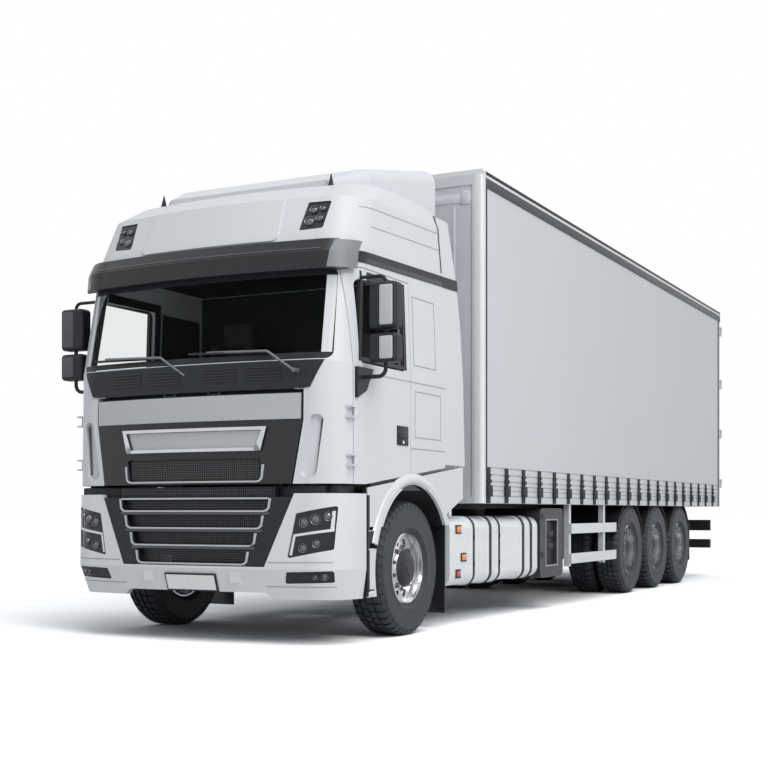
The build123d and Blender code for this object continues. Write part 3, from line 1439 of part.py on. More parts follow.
def mirror_set():
    """Left mirror: two heads on one looped arm, carried by a plate on the door."""
    made = None
    for bottom, top in MIRROR_HEADS:
        head = box(MIRROR_X0, MIRROR_X0 + MIRROR_WIDTH, MIRROR_Y0, MIRROR_Y0 + MIRROR_DEPTH, bottom, top)
        head = fillet(head.edges(), 30)
        made = head if made is None else made + head
    arm_x = MIRROR_X0 + MIRROR_WIDTH / 2
    arm_y = MIRROR_Y0 + MIRROR_DEPTH / 2
    low = MIRROR_HEADS[0][0]
    high = MIRROR_HEADS[-1][1]
    made += rod((arm_x, arm_y, low + 60), (arm_x, arm_y, high - 60), 16)
    root_x = CAB_WIDTH / 2 + SEAT
    lower = tube([(root_x, arm_y, low - 95), (arm_x, arm_y, low - 95), (arm_x, arm_y, low + 60)], 15, 60)
    upper_x = CAB_WIDTH / 2 - 22
    upper = tube([(upper_x, arm_y, high + 50), (arm_x, arm_y, high + 50), (arm_x, arm_y, high - 60)], 13, 50)
    plate = across(
        [
            (DOOR_FRONT_Y + 20, low - 250),
            (DOOR_FRONT_Y + 20, low - 25),
            (DOOR_FRONT_Y + 270, low - 25),
            (DOOR_FRONT_Y + 160, low - 190),
        ],
        root_x - 45,
        root_x + 14,
    )
    plate -= cab_block(-SEAT)
    upper -= cab_block(-SEAT)
    return max((made + lower + upper + plate).solids(), key=lambda s: s.volume)


# Wheels


def tyre(x, y):
    """A tyre turned about its axle, with round shoulders and a bead seat on the rim."""
    half = TYRE_WIDTH / 2
    crown_half = half - TYRE_SHOULDER_R
    inner = RIM_R + SEAT
    profile = [
        (-half + 35, inner),
        (half - 35, inner),
        (half - 8, inner + 35),
        (half, inner + 120),
        (half - 6, TYRE_R - 50),
        (crown_half, TYRE_R),
        (-crown_half, TYRE_R),
        (-half + 6, TYRE_R - 50),
        (-half, inner + 120),
        (-half + 8, inner + 35),
    ]
    return Pos(x, y, AXLE_Z) * turned(profile)


def rim(x, y, disc_out, hub_out, hub_in):
    """A wheel rim: barrel, disc with hand holes, and hub on the stub axle."""
    half = TYRE_WIDTH / 2 - 36
    barrel = 12
    lip = RIM_R + RIM_LIP
    profile = [
        (hub_in, SPINDLE_R + RUNNING),
        (hub_out, SPINDLE_R + RUNNING),
        (hub_out, HUB_R - 25),
        (hub_out - 25, HUB_R),
        (disc_out, HUB_R + 12),
        (disc_out - 25, RIM_R - 30),
        (half - 20, RIM_R - barrel),
        (half, lip - 30),
        (half + 10, lip - 30),
        (half, RIM_R),
        (-half, RIM_R),
        (-half, RIM_R - barrel),
        (disc_out - 60, RIM_R - barrel - 8),
        (disc_out - 40, HUB_R + 30),
        (disc_out - 40, HUB_R - 30),
        (hub_in, HUB_R - 40),
    ]
    made = turned(profile)
    for index in range(HAND_HOLES):
        angle = radians(360 * index / HAND_HOLES)
        py, pz = HAND_HOLE_PCD_R * cos(angle), HAND_HOLE_PCD_R * sin(angle)
        made -= rod((-400, py, pz), (400, py, pz), HAND_HOLE_R)
    return Pos(x, y, AXLE_Z) * made


FRONT_DISC_OUT = 70
FRONT_HUB_OUT = 120
FRONT_HUB_IN = -50
TWIN_HUB_OUT = 20
TWIN_DISC_OUT = -90


def front_wheel():
    """Left front wheel: tyre and convex rim."""
    return tyre(FRONT_WHEEL_X, FRONT_AXLE_Y), rim(
        FRONT_WHEEL_X, FRONT_AXLE_Y, FRONT_DISC_OUT, FRONT_HUB_OUT, FRONT_HUB_IN
    )


def twin_wheel(y):
    """Left twin wheel on a rear axle: two tyres, and two dished rims back to back on one hub."""
    tyres = [tyre(TWIN_OUTER_X, y), tyre(TWIN_INNER_X, y)]
    outer = rim(TWIN_OUTER_X, y, TWIN_DISC_OUT, TWIN_HUB_OUT, -TWIN_PITCH / 2)
    inner = rim(TWIN_INNER_X, y, TWIN_DISC_OUT, TWIN_HUB_OUT, -TWIN_PITCH / 2)
    inner = mirror(inner, about=Plane((TWIN_INNER_X, y, AXLE_Z), z_dir=(1, 0, 0)))
    return tyres, outer + inner


def build():
    """Every node of the truck by name."""
    nodes = {
        "chassis_frame": chassis_frame(),
        "front_axle_beam": front_axle_beam(),
        "rear_axles": rear_axles(),
        "rear_air_bellows": rear_air_bellows(),
        "power_unit": power_unit(),
        "front_bumper": front_bumper(),
        "lower_grille": lower_grille(),
        "front_lamps": front_lamps(),
        "front_fenders": front_fenders(),
        "fuel_tank": fuel_tank(),
        "side_boxes": side_boxes(),
        "side_guards": side_guards(),
        "rear_mudguards": rear_mudguards(),
        "underrun_bar": underrun_bar(),
        "load_floor": load_floor(),
        "headboard": headboard(),
        "body_roof": body_roof(),
        "rear_frame": rear_frame(),
        "curtains": curtains(),
        "cab_floor": cab_floor(),
        "cab_front": cab_front(),
        "windscreen": windscreen(),
        "cab_sides": cab_sides(),
        "cab_rear_wall": cab_rear_wall(),
        "cab_roof": cab_roof(),
        "sun_visor": sun_visor(),
        "roof_lamps": roof_lamps(),
        "roof_deflector": roof_deflector(),
        "side_deflectors": side_deflectors(),
        "dashboard": dashboard(),
        "seats": seats(),
        "wipers": wipers(),
        "front_flap": front_flap(),
    }
    front = nodes["cab_front"]
    for pin in door_pins():
        front += pin
        front += other_side(pin)
    for pin in flap_pins():
        front += pin
    nodes["cab_front"] = front
    handed = {
        "cab_door": cab_door(),
        "door_glass": door_glass(),
        "mirror": mirror_set(),
        "rear_door": rear_door(),
        "knuckle": knuckle(),
    }
    handed["front_tyre"], handed["front_rim"] = front_wheel()
    for number, y in enumerate(REAR_AXLE_YS, start=1):
        handed[f"twin_tyres_{number}"], handed[f"twin_rims_{number}"] = twin_wheel(y)
    for name, shape in handed.items():
        shapes = solids_of(shape)
        nodes[f"{name}_left"] = shapes
        nodes[f"{name}_right"] = [other_side(solid) for solid in shapes]
    return nodes


os.makedirs("parts", exist_ok=True)
for name, shape in build().items():
    export_step(Compound(solids_of(shape)), f"parts/{name}.step")
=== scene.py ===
"""A rigid cab-over truck with a curtain-sided body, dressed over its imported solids."""

from math import cos, pi, radians, sin

import bmesh
import bpy
from mathutils import Matrix, Vector


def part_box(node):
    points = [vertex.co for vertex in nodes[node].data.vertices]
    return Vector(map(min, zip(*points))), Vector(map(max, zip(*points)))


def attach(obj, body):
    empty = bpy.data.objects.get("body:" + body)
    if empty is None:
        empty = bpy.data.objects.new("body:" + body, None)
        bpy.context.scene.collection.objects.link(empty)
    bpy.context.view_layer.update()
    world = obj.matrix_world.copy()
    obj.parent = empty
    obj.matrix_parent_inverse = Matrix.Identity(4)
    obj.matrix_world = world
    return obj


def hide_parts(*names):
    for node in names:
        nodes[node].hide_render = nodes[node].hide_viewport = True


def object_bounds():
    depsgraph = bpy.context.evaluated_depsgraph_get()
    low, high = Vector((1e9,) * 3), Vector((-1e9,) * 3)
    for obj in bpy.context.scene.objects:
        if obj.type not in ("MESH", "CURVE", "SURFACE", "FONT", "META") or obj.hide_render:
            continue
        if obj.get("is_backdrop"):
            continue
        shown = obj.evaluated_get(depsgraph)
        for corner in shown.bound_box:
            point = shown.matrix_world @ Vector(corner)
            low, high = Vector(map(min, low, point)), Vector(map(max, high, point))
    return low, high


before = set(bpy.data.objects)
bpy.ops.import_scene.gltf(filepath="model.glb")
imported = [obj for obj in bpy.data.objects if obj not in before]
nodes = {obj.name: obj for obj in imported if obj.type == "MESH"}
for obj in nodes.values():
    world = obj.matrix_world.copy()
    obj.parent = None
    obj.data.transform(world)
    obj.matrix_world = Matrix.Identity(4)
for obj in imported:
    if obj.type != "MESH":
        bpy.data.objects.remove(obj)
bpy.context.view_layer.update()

# Studio: a pale floor that runs out to a white background, a soft key light from the truck's left,
# a lamp near the cab and an even surround. The camera stands level at the front left.
camera = bpy.data.objects.new("camera", bpy.data.cameras.new("camera"))
bpy.context.collection.objects.link(camera)
camera.location = (5.707, -13.979, 0.981)
camera.rotation_euler = (radians(90), 0, radians(27.04))
camera.data.sensor_fit = "HORIZONTAL"
camera.data.sensor_width = 36
camera.data.lens = 61.0
camera.data.shift_y = 0.1656
camera.data.clip_end = 400
bpy.context.scene.camera = camera
bpy.context.scene.view_settings.view_transform = "Standard"


def link(tree, start, output, end, socket):
    """Joins an output of one node to a socket of another."""
    tree.links.new(start.outputs[output], end.inputs[socket])


def sun(name, strength, softness, aim):
    """A distant lamp shining along aim."""
    lamp = bpy.data.lights.new(name, "SUN")
    lamp.energy = strength
    lamp.angle = radians(softness)
    obj = bpy.data.objects.new(name, lamp)
    obj.rotation_euler = Vector(aim).to_track_quat("-Z", "Y").to_euler()
    bpy.context.collection.objects.link(obj)


sun("key_light", 1.25, 35, (-0.40, 0.22, -1.0))
near = bpy.data.lights.new("near_light", "AREA")
near.energy = 570
near.size = 5
lamp = bpy.data.objects.new("near_light", near)
lamp.location = (10, -11, 8)
lamp.rotation_euler = Vector((-9, 6, -6)).to_track_quat("-Z", "Y").to_euler()
bpy.context.collection.objects.link(lamp)

world = bpy.data.worlds.new("studio")
bpy.context.scene.world = world
world.use_nodes = True
wn = world.node_tree
rays = wn.nodes.new("ShaderNodeLightPath")
seen = wn.nodes.new("ShaderNodeMath")
seen.operation = "MAXIMUM"
through = wn.nodes.new("ShaderNodeMath")
through.operation = "MAXIMUM"
link(wn, rays, "Is Transmission Ray", through, 0)
link(wn, rays, "Is Glossy Ray", through, 1)
link(wn, rays, "Is Camera Ray", seen, 0)
link(wn, through, 0, seen, 1)
surround = wn.nodes["Background"]
surround.inputs["Color"].default_value = (0.88, 0.94, 1.0, 1)
surround.inputs["Strength"].default_value = 0.36
white = wn.nodes.new("ShaderNodeBackground")
white.inputs["Color"].default_value = (1, 1, 1, 1)
white.inputs["Strength"].default_value = 1.0
blend = wn.nodes.new("ShaderNodeMixShader")
link(wn, seen, 0, blend, "Fac")
link(wn, surround, 0, blend, 1)
link(wn, white, 0, blend, 2)
link(wn, blend, 0, wn.nodes["World Output"], "Surface")

bm = bmesh.new()
bmesh.ops.create_grid(bm, x_segments=1, y_segments=1, size=150)
floor_mesh = bpy.data.meshes.new("studio_floor")
bm.to_mesh(floor_mesh)
bm.free()
floor = bpy.data.objects.new("studio_floor", floor_mesh)
bpy.context.collection.objects.link(floor)
floor_paint = bpy.data.materials.new("studio_floor")
floor_paint.use_nodes = True
ft = floor_paint.node_tree
shade = ft.nodes["Principled BSDF"]
shade.inputs["Roughness"].default_value = 0.9
shade.inputs["Specular IOR Level"].default_value = 0
floor_rays = ft.nodes.new("ShaderNodeLightPath")
lift = ft.nodes.new("ShaderNodeMapRange")
lift.inputs["To Min"].default_value = 0.82
lift.inputs["To Max"].default_value = 1.5
link(ft, floor_rays, "Is Camera Ray", lift, "Value")
link(ft, lift, "Result", shade, "Base Color")
floor_mesh.materials.append(floor_paint)
floor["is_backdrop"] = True

# Chassis: pressed and rolled steel under black chassis paint, with cast axles and the plain block
# of the engine. Road dust mottles the black at random, so it is never even.
COAT_ROUGHNESS = 0.06
GRAIN_FINENESS = 40
GRAIN_DEPTH = 0.002


def finish(
    name, colour, rough, metal=0.0, coat=0.0, mottle=0.06, scale=6.0, bump=0.02, stretch=(1, 1, 1), spec=0.5
):
    """A material whose colour, roughness and surface vary with a fine procedural grain."""
    made = bpy.data.materials.new(name)
    made.use_nodes = True
    tree = made.node_tree
    shader = tree.nodes["Principled BSDF"]
    shader.inputs["Metallic"].default_value = metal
    shader.inputs["Specular IOR Level"].default_value = spec
    shader.inputs["Coat Weight"].default_value = coat
    shader.inputs["Coat Roughness"].default_value = COAT_ROUGHNESS
    where = tree.nodes.new("ShaderNodeTexCoord")
    turn = tree.nodes.new("ShaderNodeMapping")
    turn.inputs["Scale"].default_value = stretch
    link(tree, where, "Object", turn, "Vector")
    cloud = tree.nodes.new("ShaderNodeTexNoise")
    cloud.inputs["Scale"].default_value = scale
    cloud.inputs["Detail"].default_value = 4
    link(tree, turn, "Vector", cloud, "Vector")
    tint = tree.nodes.new("ShaderNodeValToRGB")
    tint.color_ramp.elements[0].position = 0.3
    tint.color_ramp.elements[1].position = 0.7
    tint.color_ramp.elements[0].color = (*[c * (1 - mottle) for c in colour], 1)
    tint.color_ramp.elements[1].color = (*[min(1, c * (1 + mottle)) for c in colour], 1)
    link(tree, cloud, "Fac", tint, "Fac")
    link(tree, tint, "Color", shader, "Base Color")
    wear = tree.nodes.new("ShaderNodeMapRange")
    wear.inputs["To Min"].default_value = max(0.02, rough * 0.85)
    wear.inputs["To Max"].default_value = min(1, rough * 1.15)
    link(tree, cloud, "Fac", wear, "Value")
    link(tree, wear, "Result", shader, "Roughness")
    if bump:
        grain = tree.nodes.new("ShaderNodeTexNoise")
        grain.inputs["Scale"].default_value = scale * GRAIN_FINENESS
        link(tree, turn, "Vector", grain, "Vector")
        relief = tree.nodes.new("ShaderNodeBump")
        relief.inputs["Strength"].default_value = bump
        relief.inputs["Distance"].default_value = GRAIN_DEPTH
        link(tree, grain, "Fac", relief, "Height")
        link(tree, relief, "Normal", shader, "Normal")
    return made


def dress(names, made):
    """Gives CAD nodes a finish."""
    for name in names:
        for holder in nodes[name].material_slots:
            holder.material = made


chassis_paint = finish("chassis_paint", (0.018, 0.020, 0.023), 0.5, mottle=0.25, scale=3, bump=0.05, spec=0.3)
cast_iron = finish("cast_iron", (0.06, 0.06, 0.062), 0.6, metal=0.4, mottle=0.2, scale=9, bump=0.3)
bellows_rubber = finish("bellows_rubber", (0.025, 0.025, 0.025), 0.7, mottle=0.15, scale=12, bump=0.1)
dress(["chassis_frame", "front_axle_beam", "rear_axles", "underrun_bar"], chassis_paint)
dress(["power_unit", "knuckle_left", "knuckle_right"], cast_iron)
dress(["rear_air_bellows"], bellows_rubber)

# Tyres: moulded rubber with ribs cut into blocks. Each is spun from its own section, and the ribs'
# cross grooves are pressed in. The rear ones sit in pairs on one hub.
BEAD_R = 0.2865
CUT_DEPTH = 0.0098
TREAD_STEPS = 132
RIB_R, RIB_X = 0.5275, 0.06
SHOULDER_R, SHOULDER_X = 0.497, 0.10
AXLE_Z = 0.530
WELD = 0.00002
tyre_rubber = finish("tyre_rubber", (0.029, 0.033, 0.039), 0.55, mottle=0.25, scale=7, bump=0.15)
half_section = [
    # distance from the middle plane and radius, from the bead to the middle groove
    (0.112, BEAD_R), (0.140, 0.316), (0.143, 0.320), (0.145, 0.326), (0.143, 0.332), (0.149, 0.40),
    (0.147, 0.455), (0.147, 0.464), (0.1495, 0.468), (0.1495, 0.474), (0.146, 0.478), (0.140, 0.487),
    (0.128, 0.514), (0.104, 0.5285), (0.066, 0.530), (0.063, 0.516), (0.053, 0.516), (0.050, 0.530),
    (0.010, 0.530), (0.007, 0.516),
]
tyre_section = [(-x, r) for x, r in half_section] + half_section[::-1]


def piece(bm, name, made, body, smooth=30):
    """A finished piece from a bmesh that rides on a body, its place kept in its mesh."""
    bmesh.ops.remove_doubles(bm, verts=bm.verts, dist=WELD)
    mesh = bpy.data.meshes.new(name)
    bm.to_mesh(mesh)
    bm.free()
    obj = bpy.data.objects.new(name, mesh)
    bpy.context.collection.objects.link(obj)
    mesh.materials.append(made)
    if smooth:
        mesh.shade_smooth()
        mesh.set_sharp_from_angle(angle=radians(smooth))
    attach(obj, body)
    return obj


def spun(section, steps):
    """A ring turned about the X axis from (x, radius) points."""
    bm = bmesh.new()
    ring = [bm.verts.new((x, r, 0)) for x, r in section]
    edges = [bm.edges.new(pair) for pair in zip(ring, ring[1:])]
    bmesh.ops.spin(
        bm, geom=ring + edges, cent=(0, 0, 0), axis=(1, 0, 0), angle=2 * pi, steps=steps, use_merge=True
    )
    bmesh.ops.remove_doubles(bm, verts=bm.verts, dist=WELD)
    bmesh.ops.recalc_face_normals(bm, faces=bm.faces)
    return bm


def tyre_bm(x, y):
    """One treaded tyre with its middle plane at x."""
    bm = spun(tyre_section, TREAD_STEPS)
    cuts = []
    for face in bm.faces:
        middle = face.calc_center_median()
        radius = Vector((middle.y, middle.z)).length
        shoulder = abs(middle.x) > SHOULDER_X and radius > SHOULDER_R
        if radius < RIB_R and not shoulder:
            continue
        lean = 0.5 if abs(middle.x) > RIB_X else 0
        step = (Vector((middle.y, middle.z)).angle_signed(Vector((1, 0))) % (2 * pi)) / (2 * pi) * TREAD_STEPS
        if int(step + 0.01 + (1.5 if middle.x > 0 else 0) + lean) % 3 == 0:
            cuts.append(face)
    pressed = bmesh.ops.extrude_discrete_faces(bm, faces=cuts)["faces"]
    for face in pressed:
        for vert in face.verts:
            spoke = Vector((0, vert.co.y, vert.co.z)).normalized()
            vert.co -= spoke * CUT_DEPTH
    bmesh.ops.translate(bm, verts=bm.verts, vec=(x, y, AXLE_Z))
    return bm


def joined(parts):
    """Several bmeshes as one."""
    whole = bmesh.new()
    for part in parts:
        mesh = bpy.data.meshes.new("part")
        part.to_mesh(mesh)
        part.free()
        whole.from_mesh(mesh)
        bpy.data.meshes.remove(mesh)
    return whole


SIDES = (1, -1)
HAND = {1: "left", -1: "right"}
FRONT_WHEEL = (1.070, -4.720)
TWIN_XS = (1.085, 0.740)
TWIN_YS = (1.330, 2.510, 3.690)
for side in SIDES:
    hand = HAND[side]
    body = f"front_wheel_{hand}"
    single = tyre_bm(side * FRONT_WHEEL[0], FRONT_WHEEL[1])
    tyre = piece(single, f"front_tread_{hand}", tyre_rubber, body)
    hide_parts(f"front_tyre_{hand}")
    for number, y in enumerate(TWIN_YS, start=1):
        body = f"rear_wheel_{number}_{hand}"
        twin = joined([tyre_bm(side * x, y) for x in TWIN_XS])
        tyre = piece(twin, f"twin_tread_{number}_{hand}", tyre_rubber, body)
        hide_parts(f"twin_tyres_{number}_{hand}")

# Rims: forged aluminium discs, polished on the front axle and duller on the twins. Each disc is
# held by ten flanged nuts on a bolt circle, and a dark pressed cap closes the hub.
NUTS = 10
NUT_CIRCLE = 0.171
NUT_STEPS = [
    # radius, near end, far end, sides: washer, nut and stud tip
    (0.018, 0.0, 0.007, 16), (0.015, 0.005, 0.024, 6), (0.009, 0.02, 0.036, 10),
]
FRONT_DISC, FRONT_CAP = 0.062, 0.118
TWIN_DISC, TWIN_CAP = -0.098, 0.018
rim_alloy = finish("rim_alloy", (0.66, 0.67, 0.69), 0.20, metal=1.0, mottle=0.03, scale=14, bump=0.0)
rim_dull = finish("rim_dull", (0.62, 0.63, 0.65), 0.26, metal=1.0, mottle=0.04, scale=9, bump=0.0)
nut_steel = finish("nut_steel", (0.20, 0.20, 0.21), 0.3, metal=0.9, mottle=0.1, scale=60, bump=0.05)
cap_black = finish("cap_black", (0.024, 0.025, 0.028), 0.4, mottle=0.1, scale=20, bump=0.05, spec=0.35)


def bolt(bm, x, y, z, out):
    """A hexagon nut with its washer flange and stud tip, standing out along X."""
    for radius, near, far, sides in NUT_STEPS:
        place = Matrix.Translation((x + out * (near + far) / 2, y, z)) @ Matrix.Rotation(pi / 2, 4, "Y")
        bmesh.ops.create_cone(
            bm, cap_ends=True, segments=sides, radius1=radius, radius2=radius * 0.94, depth=far - near,
            matrix=place,
        )


def hub_fittings(x, y, disc, cap, out, name, body):
    """The nut ring and the hub cap of one wheel, at their distances out from its middle plane."""
    bm = bmesh.new()
    for index in range(NUTS):
        angle = 2 * pi * (index + 0.5) / NUTS
        bolt(bm, x + out * disc, y + NUT_CIRCLE * cos(angle), AXLE_Z + NUT_CIRCLE * sin(angle), out)
    piece(bm, f"wheel_nuts_{name}", nut_steel, body)
    dome = [
        (cap - 0.040, 0.1515), (cap - 0.018, 0.150), (cap + 0.004, 0.128), (cap + 0.014, 0.106),
        (cap + 0.022, 0.076), (cap + 0.023, 0.062), (cap + 0.030, 0.056), (cap + 0.031, 0.002),
    ]
    bm = spun(dome, 48)
    bmesh.ops.holes_fill(bm, edges=bm.edges)
    if out < 0:
        bmesh.ops.scale(bm, vec=(-1, 1, 1), verts=bm.verts)
    bmesh.ops.recalc_face_normals(bm, faces=bm.faces)
    bmesh.ops.translate(bm, verts=bm.verts, vec=(x, y, AXLE_Z))
    piece(bm, f"hub_cap_{name}", cap_black, body)


for side in SIDES:
    hand = HAND[side]
    dress([f"front_rim_{hand}"], rim_alloy)
    x, y = FRONT_WHEEL
    hub_fittings(side * x, y, FRONT_DISC, FRONT_CAP, side, f"front_{hand}", f"front_wheel_{hand}")
    for number, y in enumerate(TWIN_YS, start=1):
        dress([f"twin_rims_{number}_{hand}"], rim_dull)
        name = f"rear_{number}_{hand}"
        hub_fittings(side * TWIN_XS[0], y, TWIN_DISC, TWIN_CAP, side, name, f"rear_wheel_{number}_{hand}")

# Fuel tank: extruded aluminium with a soft sheen, held by dark rubber-lined straps. Its filler cap
# stands on the top, and the side carries two amber reflectors and a red one.
tank_alloy = finish(
    "tank_alloy", (0.84, 0.855, 0.88), 0.38, metal=0.15, mottle=0.05, scale=5, bump=0.04, stretch=(1, 0.15, 1)
)
strap_black = finish("strap_black", (0.022, 0.023, 0.025), 0.5, mottle=0.15, scale=20, bump=0.08, spec=0.3)
amber_lens = finish("amber_lens", (0.85, 0.27, 0.02), 0.18, coat=0.6, mottle=0.1, scale=90, bump=0.15)
red_lens = finish("red_lens", (0.62, 0.02, 0.015), 0.18, coat=0.6, mottle=0.1, scale=90, bump=0.15)
chrome = finish("chrome", (0.80, 0.81, 0.83), 0.10, metal=1.0, mottle=0.03, scale=12, bump=0.0)
dress(["fuel_tank"], tank_alloy)


def block(bm, low, high, bevel=0.0, segments=2, axis=None):
    """A box between two corners, its edges rounded: all of them, or those along one axis."""
    size = Vector(high) - Vector(low)
    middle = (Vector(high) + Vector(low)) / 2
    made = bmesh.ops.create_cube(bm, size=1, matrix=Matrix.Translation(middle) @ Matrix.Diagonal((*size, 1)))
    if bevel:
        edges = list({edge for vert in made["verts"] for edge in vert.link_edges})
        if axis is not None:
            edges = [edge for edge in edges if abs(edge.verts[0].co[axis] - edge.verts[1].co[axis]) > 1e-6]
        bmesh.ops.bevel(
            bm, geom=edges, offset=bevel, offset_type="OFFSET", affect="EDGES", segments=segments,
            profile=0.5, material=-1, clamp_overlap=True,
        )


def bar(bm, start, end, radius, sides=16):
    """A round bar between two points, added to bm."""
    run = Vector(end) - Vector(start)
    turn = run.to_track_quat("Z", "Y").to_matrix().to_4x4()
    place = Matrix.Translation((Vector(start) + Vector(end)) / 2) @ turn
    bmesh.ops.create_cone(
        bm, cap_ends=True, segments=sides, radius1=radius, radius2=radius, depth=run.length, matrix=place
    )


def both_sides(bm):
    """Adds the mirror image of everything in bm across the centre plane."""
    copy = bmesh.ops.duplicate(bm, geom=bm.verts[:] + bm.edges[:] + bm.faces[:])["geom"]
    bmesh.ops.scale(bm, vec=(-1, 1, 1), verts=[item for item in copy if isinstance(item, bmesh.types.BMVert)])
    bmesh.ops.reverse_faces(bm, faces=[item for item in copy if isinstance(item, bmesh.types.BMFace)])
    return bm


def blocks(*rows):
    """A bmesh of several blocks, one for each row of block's arguments."""
    bm = bmesh.new()
    for row in rows:
        block(bm, *row)
    return bm


tank_low, tank_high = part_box("fuel_tank")
TANK_FRONT, TANK_REAR = tank_low.y, tank_high.y
TANK_LENGTH = TANK_REAR - TANK_FRONT
TANK_SIDE = 1.228
bm = bmesh.new()
for share, width in ((0.23, 0.045), (0.41, 0.060), (0.51, 0.045), (0.80, 0.065), (0.90, 0.065)):
    y = TANK_FRONT + share * TANK_LENGTH
    half = width / 2 - 0.004
    block(bm, (0.594, y - half, 0.329), (TANK_SIDE + 0.016, y + half, 0.941), 0.108, 8, 1)
    for z in (0.52, 0.76):
        block(bm, (TANK_SIDE + 0.012, y - 0.012, z - 0.02), (TANK_SIDE + 0.022, y + 0.012, z + 0.02), 0.004)
piece(bm, "tank_straps", strap_black, "chassis")
bm = bmesh.new()
for radius, low, high in ((0.075, 0.92, 0.945), (0.062, 0.945, 0.985), (0.040, 0.985, 0.998)):
    bar(bm, (0.95, TANK_FRONT + 0.30, low), (0.95, TANK_FRONT + 0.30, high), radius, 32)
piece(bm, "tank_filler_cap", cap_black, "chassis")
MARKERS = [
    # distance behind the tank's front, height of the middle, length, half height, stand-out
    (0.13, 0.825, 0.095, 0.026, 0.014), (0.24, 0.585, 0.095, 0.026, 0.014),
    (0.13, 0.4475, 0.08, 0.0225, 0.012),
]
LENS_IN = TANK_SIDE - 0.020
lenses = []
housings = bmesh.new()
for behind, z, length, half, out in MARKERS:
    y = TANK_FRONT + behind
    lenses.append(blocks(((LENS_IN, y, z - half), (TANK_SIDE + out, y + length, z + half), 0.006)))
    far = (TANK_SIDE + 0.008, y + length + 0.012, z + 0.038)
    block(housings, (LENS_IN, y - 0.012, z - 0.038), far, 0.006)
piece(joined(lenses[:2]), "side_markers", amber_lens, "chassis")
piece(lenses[2], "tank_reflector", red_lens, "chassis")
piece(housings, "marker_housings", strap_black, "chassis")

# Battery and exhaust boxes: moulded covers in dark grey plastic with a soft grain. The battery
# cover has a deep recess with a pull handle and a latch in it.
box_plastic = finish("box_plastic", (0.040, 0.042, 0.046), 0.42, mottle=0.12, scale=10, bump=0.12, spec=0.4)
dress(["side_boxes"], box_plastic)
BATTERY_Y = -1.82868
# The last of these blocks lays a panel darker than the cover over the floor of the recess.
bm = blocks(
    ((1.190, BATTERY_Y + 0.24, 0.60), (1.222, BATTERY_Y + 0.44, 0.66), 0.012),
    ((1.190, BATTERY_Y + 0.24, 0.72), (1.222, BATTERY_Y + 0.44, 0.78), 0.012),
    ((1.230, BATTERY_Y + 0.03, 0.52), (1.240, BATTERY_Y + 0.12, 0.58), 0.004),
    ((1.230, BATTERY_Y + 0.03, 0.90), (1.240, BATTERY_Y + 0.12, 0.96), 0.004),
    ((1.190, BATTERY_Y + 0.175, 0.450), (1.199, BATTERY_Y + 0.504, 0.880), 0.003),
)
piece(bm, "battery_latches", strap_black, "chassis")
rim_grey = finish("rim_grey", (0.36, 0.365, 0.375), 0.4, mottle=0.05, scale=20, bump=0.0)
bm = bmesh.new()
for low_y, high_y, low_z, high_z in (
    (0.158, 0.172, 0.428, 0.902), (0.507, 0.521, 0.428, 0.902),
    (0.172, 0.507, 0.428, 0.442), (0.172, 0.507, 0.888, 0.902),
):
    block(bm, (1.228, BATTERY_Y + low_y, low_z), (1.240, BATTERY_Y + high_y, high_z), 0.002, 1)
piece(bm, "battery_cover_rim", rim_grey, "chassis")

# Side guards: two hollow aluminium rails bolted to folded posts that hang from the deck. The rails
# are close to white, and their ends are capped with black plastic.
guard_alloy = finish(
    "guard_alloy", (0.82, 0.83, 0.84), 0.35, metal=0.35, mottle=0.03, scale=4, bump=0.03, stretch=(1, 0.1, 1)
)
dress(["side_guards"], guard_alloy)
GUARD_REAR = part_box("side_guards")[1].y
bm = bmesh.new()
for low, high in ((0.430, 0.535), (0.745, 0.850)):
    block(bm, (1.219, GUARD_REAR - 0.018, low - 0.003), (1.252, GUARD_REAR + 0.004, high + 0.003), 0.006)
piece(both_sides(bm), "guard_end_caps", cap_black, "chassis")

# Rear mudguards: black moulded half rounds over each pair of wheels, clamped to stays on the frame.
# A rubber flap hangs behind the last pair.
guard_plastic = finish(
    "guard_plastic", (0.022, 0.022, 0.024), 0.55, mottle=0.15, scale=9, bump=0.15, spec=0.3
)
dress(["rear_mudguards"], guard_plastic)

# Rear lamps: red, amber and white ribbed lenses side by side on each lamp board. Red reflecting
# stripes run along the underrun bar below them.
clear_lens = finish("clear_lens", (0.75, 0.77, 0.79), 0.12, coat=0.5, mottle=0.05, scale=120, bump=0.1)
LENS_Y = 5.830
LENS_RIBS, RIB_PITCH = 5, 0.0165
for name, start, end, made in (
    ("stop_lamps", 0.90, 1.125, red_lens), ("turn_lamps", 0.79, 0.895, amber_lens),
    ("reverse_lamps", 0.675, 0.785, clear_lens),
):
    bm = bmesh.new()
    block(bm, (start, LENS_Y - 0.01, 0.722), (end, LENS_Y + 0.012, 0.818), 0.008)
    for rib in range(LENS_RIBS):
        z = 0.735 + rib * RIB_PITCH
        block(bm, (start + 0.006, LENS_Y + 0.010, z), (end - 0.006, LENS_Y + 0.014, z + 0.010), 0.001, 1)
    piece(both_sides(bm), name, made, "chassis")
bm = bmesh.new()
STRIPES = 12
STRIPE_WIDTH = 2.24 / STRIPES
for index in range(1, STRIPES, 2):
    x = -1.12 + index * STRIPE_WIDTH
    block(bm, (x, 5.8095, 0.462), (x + STRIPE_WIDTH, 5.8115, 0.528))
piece(bm, "underrun_stripes", red_lens, "chassis", 0)
